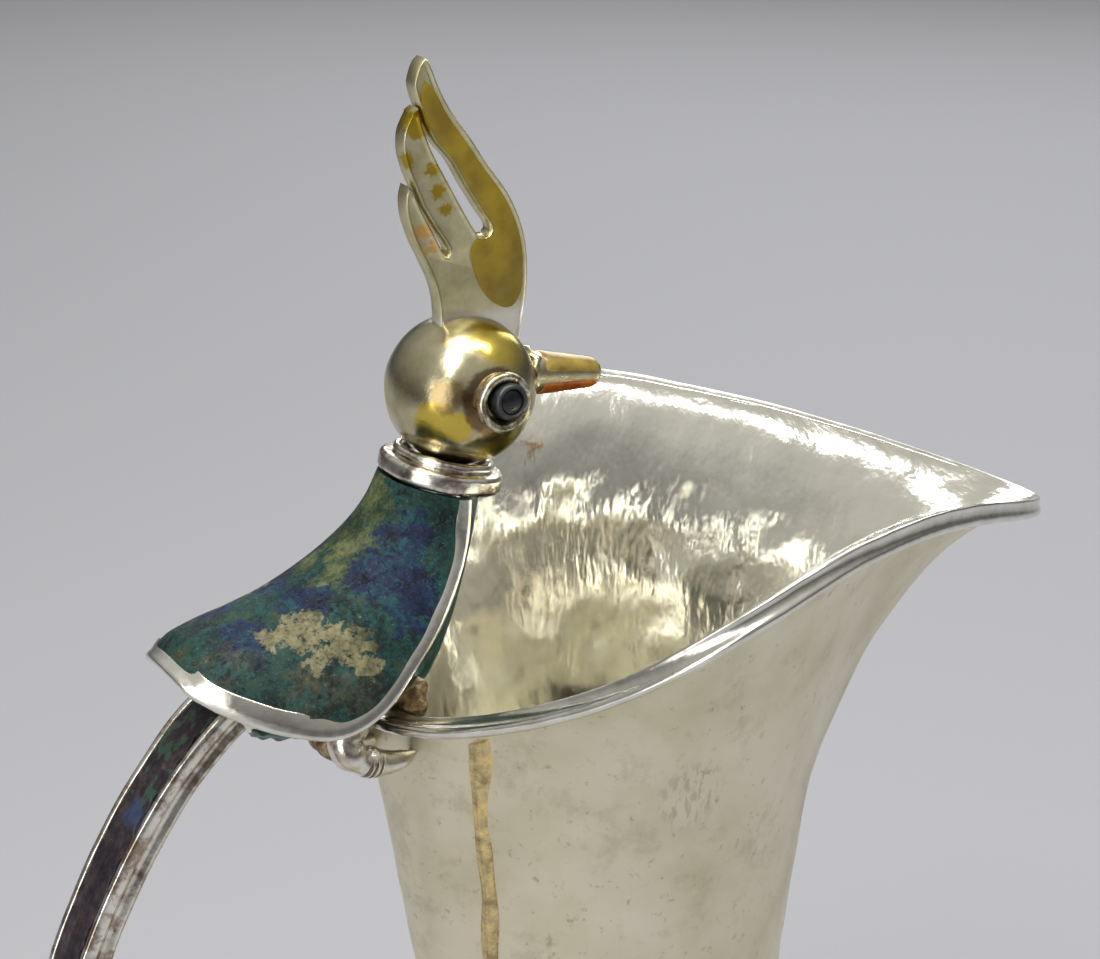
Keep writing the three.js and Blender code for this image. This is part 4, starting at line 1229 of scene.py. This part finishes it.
def tail_rings(loop, start, end, count, shape):
    """A cross-section carried along the tail and reshaped at each place."""
    at = TAIL_LINE.even(count, start, end)
    ahead = unit(np.gradient(at, axis=0))
    away = np.stack([ahead[:, 2], 0 * ahead[:, 0], -ahead[:, 0]], -1)
    away *= np.sign(1e-9 - away[:, :1])
    rings = []
    for k in range(count):
        local = shape(loop, at[k])
        rings.append(at[k] + np.outer(local[:, 1], away[k]) + np.outer(local[:, 0], [0, 1, 0]))
    return rings


def make_tail():
    """A channel with a stone inlay on its outer face and a groove along each side."""
    w, h = TAIL["width"] / 2, TAIL["thickness"] / 2
    half = [
        (0, -h), (w - 2.2, -h), (w - 1.0, -h + 0.5), (w - 0.35, -h + 1.3), (w - 0.95, -h + 2.4),
        (w - 0.95, -h + 3.0), (w - 0.1, -h + 3.9), (w, h - 0.9), (w - 0.35, h - 0.1), (w - 0.9, h),
        (w - 1.5, h - 0.2), (w - 1.7, h - 1.2), (0, h - 1.2),
    ]
    loop = rounded(half[:-1] + [(-x, z) for x, z in half[::-1][:-1]], 0.35, 3)

    def wavy(shape, at):
        """The channel, a little wider and narrower by turns."""
        return shape * (1 + 0.012 * ripple(at, 14, 61))

    piece("tail_channel", tube(tail_rings(loop, 0.0, 1.0, 260, wavy)), GRIMY, ["tail_strap"])
    edge = w - 1.5
    inlay = rounded([
        (-edge, h - 1.4), (edge, h - 1.4), (edge, h - 0.25), (0, h - 0.02), (-edge, h - 0.25),
    ], 0.3, 3)

    def ragged(shape, at):
        """The stone, with one broken edge."""
        out = shape.copy()
        near = out[:, 0] < 0
        out[near, 0] += 0.45 + 0.35 * ripple(at, 5, 62) + 0.2 * ripple(at, 2, 63)
        out[:, 1] += 0.06 * ripple(at, 3, 64)
        return out

    stone = tube(tail_rings(inlay, 0.02, 0.985, 420, ragged))
    piece("tail_stone_line", stone, TAIL_STONE, ["tail_inlay"])
    centre, size = box_of("tail_pad")
    a = circle(48)
    rings = []
    for share in np.linspace(-0.98, 0.98, 40):
        spread = (1 - abs(share) ** 3.2) ** 0.4
        y, z = size[1] * spread * np.cos(a), size[2] * spread * np.sin(a)
        ring = np.stack([share * size[0] + 0 * a, y, z], -1)
        rings.append(centre + ring * 0.97)
    piece("tail_solder_pad", tube(rings), TRIM, ["tail_pad"])


# ---- feet and solder ----
BIG_TOE = Path([
    (-51.0, -6.0, 208.8), (-53.0, -6.8, 207.6), (-53.5, -7.6, 205.8), (-51.6, -8.2, 203.6),
    (-48.1, -8.4, 202.1), (-44.4, -8.4, 201.6), (-40.5, -8.2, 202.1),
])
SMALL_TOE = Path([
    (-51.7, -2.5, 207.2), (-53.7, -2.8, 205.9), (-54.3, -3.2, 204.6),
    (-52.4, -3.6, 202.9), (-50.1, -4.0, 202.1), (-47.8, -4.4, 202.2),
])


def toe(path, widths, flat, seed):
    """A claw that tapers along its path and is wider across than it is thick."""
    count = 60
    at = path.even(count)
    ahead = unit(np.gradient(at, axis=0))
    side = unit(np.cross(ahead, [0, 1, 0]))
    other = unit(np.cross(side, ahead))
    wide = np.interp(np.linspace(0, 1, count), np.linspace(0, 1, len(widths)), widths)
    wide = wide * (1 + 0.04 * ripple(at, 3.0, seed))
    a = circle(32)
    rings = []
    for k in range(count):
        cos, sin = np.cos(a) * wide[k], np.sin(a) * wide[k] * flat
        rings.append(at[k] + np.outer(cos, side[k]) + np.outer(sin, other[k]))
    return tube(rings)


def make_feet():
    """Each foot has a big claw hooked over the rim and a smaller one beside the leg."""
    for name, shift in (("near", (0.3, 0, 0.9)), ("far", (1.5, 11.6, -0.4))):
        big = toe(BIG_TOE, (2.7, 2.8, 2.7, 2.5, 2.1, 1.5, 0.3), 1.1, 73)
        small = toe(SMALL_TOE, (2.2, 2.1, 1.8, 1.5, 1.2, 0.5), 1.2, 74)
        piece("claw_" + name, (big[0] + shift, big[1]), FEET, ["foot_" + name])
        piece("toe_" + name, (small[0] + np.array(shift) * [1, 0.45, 1], small[1]), SOLDER)
    centre, _ = box_of("rim_lug")
    for name, offset, size, seed in (
        ("solder_lump", (0.2, -0.8, -0.6), (3.2, 4.4, 3.0), 71),
        ("solder_drip", (-2.4, -2.4, -3.0), (2.4, 2.6, 1.8), 72),
    ):
        profile = [(math.sin(a), -math.cos(a)) for a in np.linspace(0, math.pi, 30)]
        points, faces = turned_body(profile, 48)
        points = uneven(points * size, 0.12, 3.0, seed) + centre + offset
        piece(name, (points, faces), SOLDER, ["rim_lug"] if seed == 71 else ())


# ---- neck, head, eyes, beak and crest ----
def on_neck(points):
    """From a piece made round +Z to its place on the bird's leaning neck."""
    return turn_y(points, NECK["tilt"]) + NECK["top"]


def on_head(points):
    """From a piece made round the head's middle to its place."""
    return np.asarray(points) + HEAD["centre"]


def make_neck():
    """A flat collar with a wire ring on it."""
    r, h = NECK["radius"], NECK["height"]
    collar = rounded([
        (2, -1.0), (r - 1.8, -1.0), (r - 1.6, -h), (r - 0.4, -h),
        (r, -h + 0.6), (r, -0.6), (r - 0.7, 0), (2, 0),
    ], 0.4, 3)
    points, faces = turned_ring(collar, 128)
    points = uneven(points, 0.006, 8, 81)
    piece("collar", (on_neck(points), faces), GRIMY, ["neck_collar"])
    wire = [(7.35 + 0.85 * math.cos(a), 0.62 + 0.8 * math.sin(a)) for a in circle(20)]
    points, faces = turned_ring(wire, 96)
    points = points + 0.06 * ripple(points, 4, 82)[:, None]
    piece("collar_wire", (on_neck(points), faces), GRIMY, ["neck_wire"])


def make_ball():
    """The round head, with the faint waves of worked sheet."""
    r = HEAD["radius"]
    profile = [(r * math.sin(a), -r * math.cos(a)) for a in np.linspace(0, math.pi, 97)]
    points, faces = turned_body(profile, 144)
    swell = 1 + 0.004 * ripple(points, 9, 91) + 0.0015 * ripple(points, 4, 92)
    piece("head", (on_head(points * swell[:, None]), faces), BRASS, ["head_ball"])


def eye_axis(points, side):
    """Turns a piece made round +Z so that it lies along one eye's axis."""
    points = turn_x(points, math.pi / 2 if side < 0 else -math.pi / 2)
    points = turn_x(points, side * EYE["up"])
    return turn_z(points, -side * EYE["forward"])


def make_eyes():
    """Each eye is a silver cup with a dished grey bead and a black pupil."""
    for side, name in ((-1, "near"), (1, "far")):
        cup = rounded([
            (3.0, 9.0), (4.5, 9.0), (4.45, 11.9), (4.75, 12.6),
            (4.75, 13.3), (4.3, 13.8), (3.5, 13.6), (3.0, 12.8),
        ], 0.3, 3)
        points, faces = turned_ring(cup, 80)
        points = on_head(eye_axis(uneven(points, 0.006, 3, 101 + side), side))
        piece("eye_ring_" + name, (points, faces), EYE_SILVER, ["eye_cup_" + name])
        bead = [
            (0, 11.0), (2.95, 11.0), (2.95, 13.4), (2.8, 14.0), (2.45, 14.35),
            (2.15, 14.4), (2.02, 14.2), (1.95, 13.6), (0, 13.5),
        ]
        points, faces = turned_body(bead, 72)
        points = eye_axis(points, side) + EYE["bead_shift"]
        piece("eye_bead_" + name, (on_head(points), faces), GREY_BEAD, ["eye_bead_" + name])
        arc = [(1.9 * math.cos(a), 13.95 + 0.4 * math.sin(a)) for a in np.linspace(0, 1.5, 8)]
        dome = [(0, 13.0), (1.9, 13.0)] + arc + [(0, 14.36)]
        points, faces = turned_body(dome, 60)
        points = eye_axis(points, side) + EYE["bead_shift"]
        piece("pupil_" + name, (on_head(points), faces), BLACK_BEAD, ["pupil_" + name])


def beak_radius(x):
    """The beak's radius x millimetres from the head's middle."""
    length = BEAK["length"]
    along = np.clip((x - HEAD["radius"]) / (length - HEAD["radius"]), 0, 1)
    cone = BEAK["base"] + (BEAK["tip"] - BEAK["base"]) * along
    left = np.clip((length - x) / 2.0, 0, 1)
    return cone * np.sqrt(np.clip(1 - (1 - left) ** 2, 0, 1))


def beak_place(points):
    """From along +Z to the beak's own axis."""
    points = np.asarray(points)[:, [2, 1, 0]] * [1, 1, -1]
    return on_head(turn_y(points, BEAK["droop"]) + [0, 0, BEAK["rise"]])


def beak_shell(side, start, end, grow):
    """Half of a sleeve round the beak; side is 1 above and -1 below."""
    xs = np.linspace(start, end, 50)
    a = np.linspace(-math.pi / 2 + 0.16, math.pi / 2 - 0.16, 40)
    soft = (1 - (np.abs(a) / a[-1]) ** 8)[None, :] * (1 - np.abs(np.linspace(-1, 1, 50)) ** 14)[:, None]
    r = beak_radius(xs)[:, None] - 0.4 + (0.4 + grow) * soft
    outer = np.stack([-side * r * np.cos(a), r * np.sin(a), xs[:, None] + 0 * a], -1)
    inner = np.stack([-side * (r - 0.8) * np.cos(a), (r - 0.8) * np.sin(a), xs[:, None] + 0 * a], -1)
    points, faces = slab(outer, inner)
    return beak_place(points), faces


def make_beak():
    """A metal cone with enamel above and below, and solder round its root."""
    xs = np.r_[8.0, np.linspace(9.5, 24.4, 40), 24.4 + 1.8 * np.sin(np.linspace(0, math.pi / 2, 14))[1:]]
    profile = [(0, 8.0)] + [(max(beak_radius(x) - 0.12, 0.02), x) for x in xs] + [(0, BEAK["length"])]
    points, faces = turned_body(profile, 72)
    piece("beak_body", (beak_place(points), faces), BEZEL, ["beak_core"])
    piece("beak_top", beak_shell(1, 13.6, 25.2, 0.14), BEAK_YELLOW, ["beak_inlay_upper"])
    piece("beak_underside", beak_shell(-1, 13.6, 25.4, 0.14), AMBER, ["beak_inlay_lower"])
    ring = [(4.1 + 0.45 * math.cos(a), 11.9 + 0.6 * math.sin(a)) for a in circle(14)]
    points, faces = turned_ring(ring, 60)
    points = uneven(points, 0.02, 2.5, 111) * [0.95, 0.95, 1]
    piece("beak_solder", (beak_place(points), faces), BRASS)


CREST_RUNS = (
    [(-3.0, 8.0), (8.9, 6.0)],
    [
        (10.1, 7), (11.3, 13.8), (11.6, 18.4), (11.2, 23), (9.8, 27.5), (7.8, 31.4),
        (4.5, 36), (1.3, 40.9), (-1.9, 45.4), (-3.8, 49.1), (-5, 52.1), (-5.9, 53.6),
        (-6.8, 53), (-7.6, 51.4), (-8, 49.8), (-7.6, 47.8), (-6.9, 45.8),
    ],
    [
        (-6.2, 43.6), (-4.5, 40.4), (-1.7, 36.9), (0.5, 33), (3.1, 28.8), (5.1, 25.4), (4.5, 24.6),
        (3.2, 24.6), (2.4, 25.4), (0.4, 28.8), (-2.2, 33.6), (-5.1, 39.2), (-6.7, 43.4), (-7.4, 46.2),
    ],
    [(-8.3, 45.6), (-9.8, 42.7), (-10, 39.9), (-9.3, 36.8), (-8.2, 34)],
    [
        (-6.9, 30.8), (-4.7, 27.0), (-2.4, 23.2), (-2.4, 22.5), (-2.8, 22.2),
        (-3.2, 22.7), (-5.0, 26.2), (-7.1, 30.3), (-8.5, 33.6),
    ],
    [
        (-9.2, 34.3), (-9.7, 32.8), (-9.7, 30.1), (-8.6, 26.1),
        (-6.7, 21.9), (-5.1, 18.3), (-4.3, 14.8), (-4.1, 9.4),
    ],
)
PANEL = (
    (-5.9, 49.6), (-4.5, 47.4), (-2.7, 44), (0.4, 39.6), (3.6, 34.9), (6.7, 30.6), (8.6, 27),
    (9.9, 22.8), (10.2, 18.4), (9.9, 14.8), (8.4, 12.9), (6.2, 13.6), (4, 16), (2.5, 19.4),
    (2, 22.4), (3.0, 23.9), (5.9, 24.4), (5.9, 26.2), (3.9, 29.3), (1.1, 33.6), (-1.3, 37.4),
    (-3.9, 41.0), (-5.5, 44.2), (-6.3, 47.4),
)


def anticlockwise(loop):
    """The loop, turned about if it runs clockwise."""
    x, z = loop[:, 0], loop[:, 1]
    area = np.sum(x * np.roll(z, -1) - np.roll(x, -1) * z)
    return loop[::-1] if area < 0 else loop


def inset(outline, amount):
    """An outline moved inwards, by less where it is narrow."""
    ahead, behind = np.roll(outline, -1, 0), np.roll(outline, 1, 0)
    way = unit(ahead - behind)
    inward = np.stack([-way[:, 1], way[:, 0]], -1)
    moved = outline.copy()
    for i, (point, normal) in enumerate(zip(outline, inward)):
        rel = outline - point
        depth = rel @ normal
        side = np.abs(rel @ way[i])
        hit = depth[(depth > 0.05) & (side < 0.5)]
        room = hit.min() if len(hit) else 10.0
        moved[i] = point + normal * min(amount, 0.36 * room)
    return moved


def crest_ring(outline, y):
    """A flat outline stood up in the pitcher's plane, moved sideways to y."""
    return np.insert(outline, 1, y, axis=1)


def filled(name, levels, material, nodes):
    """A closed body from outlines stacked one after another, capped by flat faces."""
    n = len(levels[0])
    points = on_head(np.vstack(levels))
    faces = quads(len(levels), n, wrap_cols=True)
    faces += [list(range(n)), list(range((len(levels) - 1) * n, len(levels) * n))]
    obj = raw(name, points, faces, [material])
    bm = bmesh.new()
    bm.from_mesh(obj.data)
    big = [f for f in bm.faces if len(f.verts) > 4]
    bmesh.ops.triangulate(bm, faces=big, ngon_method="EAR_CLIP")
    bmesh.ops.recalc_face_normals(bm, faces=bm.faces)
    bm.to_mesh(obj.data)
    bm.free()
    return finished(obj, nodes, math.radians(40))


def make_crest():
    """One plate cut into three feathers, with a raised edge, and enamel in the front feather."""
    outline = np.vstack([Path(run).even(max(4, 5 * len(run))) for run in CREST_RUNS])
    outline = anticlockwise(outline)
    width, high, low = CREST["bezel_width"], CREST["bezel"], CREST["half"]
    stack = [(width + 0.25, low), (width, low + 0.05), (width - 0.25, high), (0.25, high), (0.0, high - 0.3)]
    levels = [crest_ring(inset(outline, d), -y) for d, y in stack]
    levels += [crest_ring(inset(outline, d), y) for d, y in reversed(stack)]
    filled("crest", levels, CREST_METAL, ["crest_plate"])
    for side, name in ((-1, "near"), (1, "far")):
        loop = Path(list(PANEL) + [PANEL[0]]).even(121)[:-1]
        loop = inset(anticlockwise(loop), -0.5)
        rows = [(0.0, low - 0.3), (0.0, low + 0.18), (0.25, low + 0.27)]
        levels = [crest_ring(inset(loop, d), side * y) for d, y in rows]
        filled("feather_enamel_" + name, levels, YELLOW, ["crest_enamel_" + name])


# ---- the whole pitcher ----
make_body()
make_rim()
make_base()
make_seam()
chip_tree = make_cape()
make_border()
make_torso(chip_tree)
make_tail()
make_feet()
make_neck()
make_ball()
make_eyes()
make_beak()
make_crest()


# ---- studio ----
def make_floor():
    """A pale floor with painted light falloff: it darkens with distance."""
    f = Finish("pale_floor", specular=0.2)
    # Painted shade: the floor's colour darkens further back, in place of the lamps' light falling off.
    away = f.maths("ADD", f.apart()["Y"], f.maths("MULTIPLY", f.apart()["X"], 0.5))
    color = f.ramp(f.steps(away, -600.0, 1800.0), (0.0, (0.44, 0.44, 0.465)), (1.0, (0.30, 0.30, 0.315)))
    material = f.done(color, 0.85)
    size = 6.0
    mesh = bpy.data.meshes.new("floor")
    corners = [(-size, -size, 0), (size, -size, 0), (size, size, 0), (-size, size, 0)]
    mesh.from_pydata(corners, [], [[0, 1, 2, 3]])
    mesh.materials.append(material)
    floor = bpy.data.objects.new("floor", mesh)
    bpy.context.scene.collection.objects.link(floor)


def soft_box(name, place, aim, size, power, color=(1, 1, 1)):
    """A flat lamp turned towards a point."""
    data = bpy.data.lights.new(name, "AREA")
    data.shape = "RECTANGLE"
    data.size, data.size_y = size
    data.energy = power
    data.color = color
    lamp = bpy.data.objects.new(name, data)
    lamp.location = place
    lamp.rotation_euler = (Vector(aim) - Vector(place)).to_track_quat("-Z", "Y").to_euler()
    bpy.context.scene.collection.objects.link(lamp)


def make_light():
    """A pale room, two long lamps overhead and softer ones at the side and behind."""
    world = bpy.data.worlds.new("studio")
    bpy.context.scene.world = world
    world.use_nodes = True
    nodes, links = world.node_tree.nodes, world.node_tree.links
    sky = nodes["Background"]
    coords = nodes.new("ShaderNodeTexCoord")
    parts = nodes.new("ShaderNodeSeparateXYZ")
    tint = nodes.new("ShaderNodeValToRGB")
    links.new(coords.outputs["Generated"], parts.inputs[0])
    links.new(parts.outputs["Z"], tint.inputs["Fac"])
    links.new(tint.outputs["Color"], sky.inputs["Color"])
    stops = tint.color_ramp.elements
    stops[0].position, stops[0].color = 0.0, (0.16, 0.16, 0.17, 1)
    stops[1].position, stops[1].color = 0.75, (0.95, 0.94, 0.91, 1)
    sky.inputs["Strength"].default_value = 0.55
    centre = (0, 0, 0.2)
    soft_box("overhead_left", (-0.45, -0.35, 1.25), centre, (0.14, 0.9), 8)
    soft_box("overhead_right", (0.25, -0.1, 1.3), centre, (0.12, 0.8), 7)
    soft_box("side", (-1.3, -0.7, 0.5), centre, (0.8, 1.0), 7, (1.0, 0.99, 0.97))
    soft_box("back", (0.9, 1.1, 0.8), centre, (1.2, 0.8), 10, (0.98, 0.99, 1.0))


CAMERA = {
    "lens": 93.73, "sensor": 36, "target": (-0.0109, 0, 0.2410),
    "azimuth": math.radians(-31), "elevation": math.radians(21.17), "distance": 0.465,
}


def make_camera():
    """A camera to the near rear side of the bird, looking down on the mouth."""
    data = bpy.data.cameras.new("camera")
    data.sensor_width = CAMERA["sensor"]
    data.lens = CAMERA["lens"]
    data.clip_start, data.clip_end = 0.02, 30
    camera = bpy.data.objects.new("camera", data)
    azimuth, elevation = CAMERA["azimuth"], CAMERA["elevation"]
    back = Vector((
        math.sin(azimuth) * math.cos(elevation),
        -math.cos(azimuth) * math.cos(elevation),
        math.sin(elevation),
    ))
    camera.location = Vector(CAMERA["target"]) + back * CAMERA["distance"]
    camera.rotation_euler = (-back).to_track_quat("-Z", "Y").to_euler()
    bpy.context.scene.collection.objects.link(camera)
    bpy.context.scene.camera = camera


make_floor()
make_light()
make_camera()
bpy.context.scene.view_settings.view_transform = "Standard"
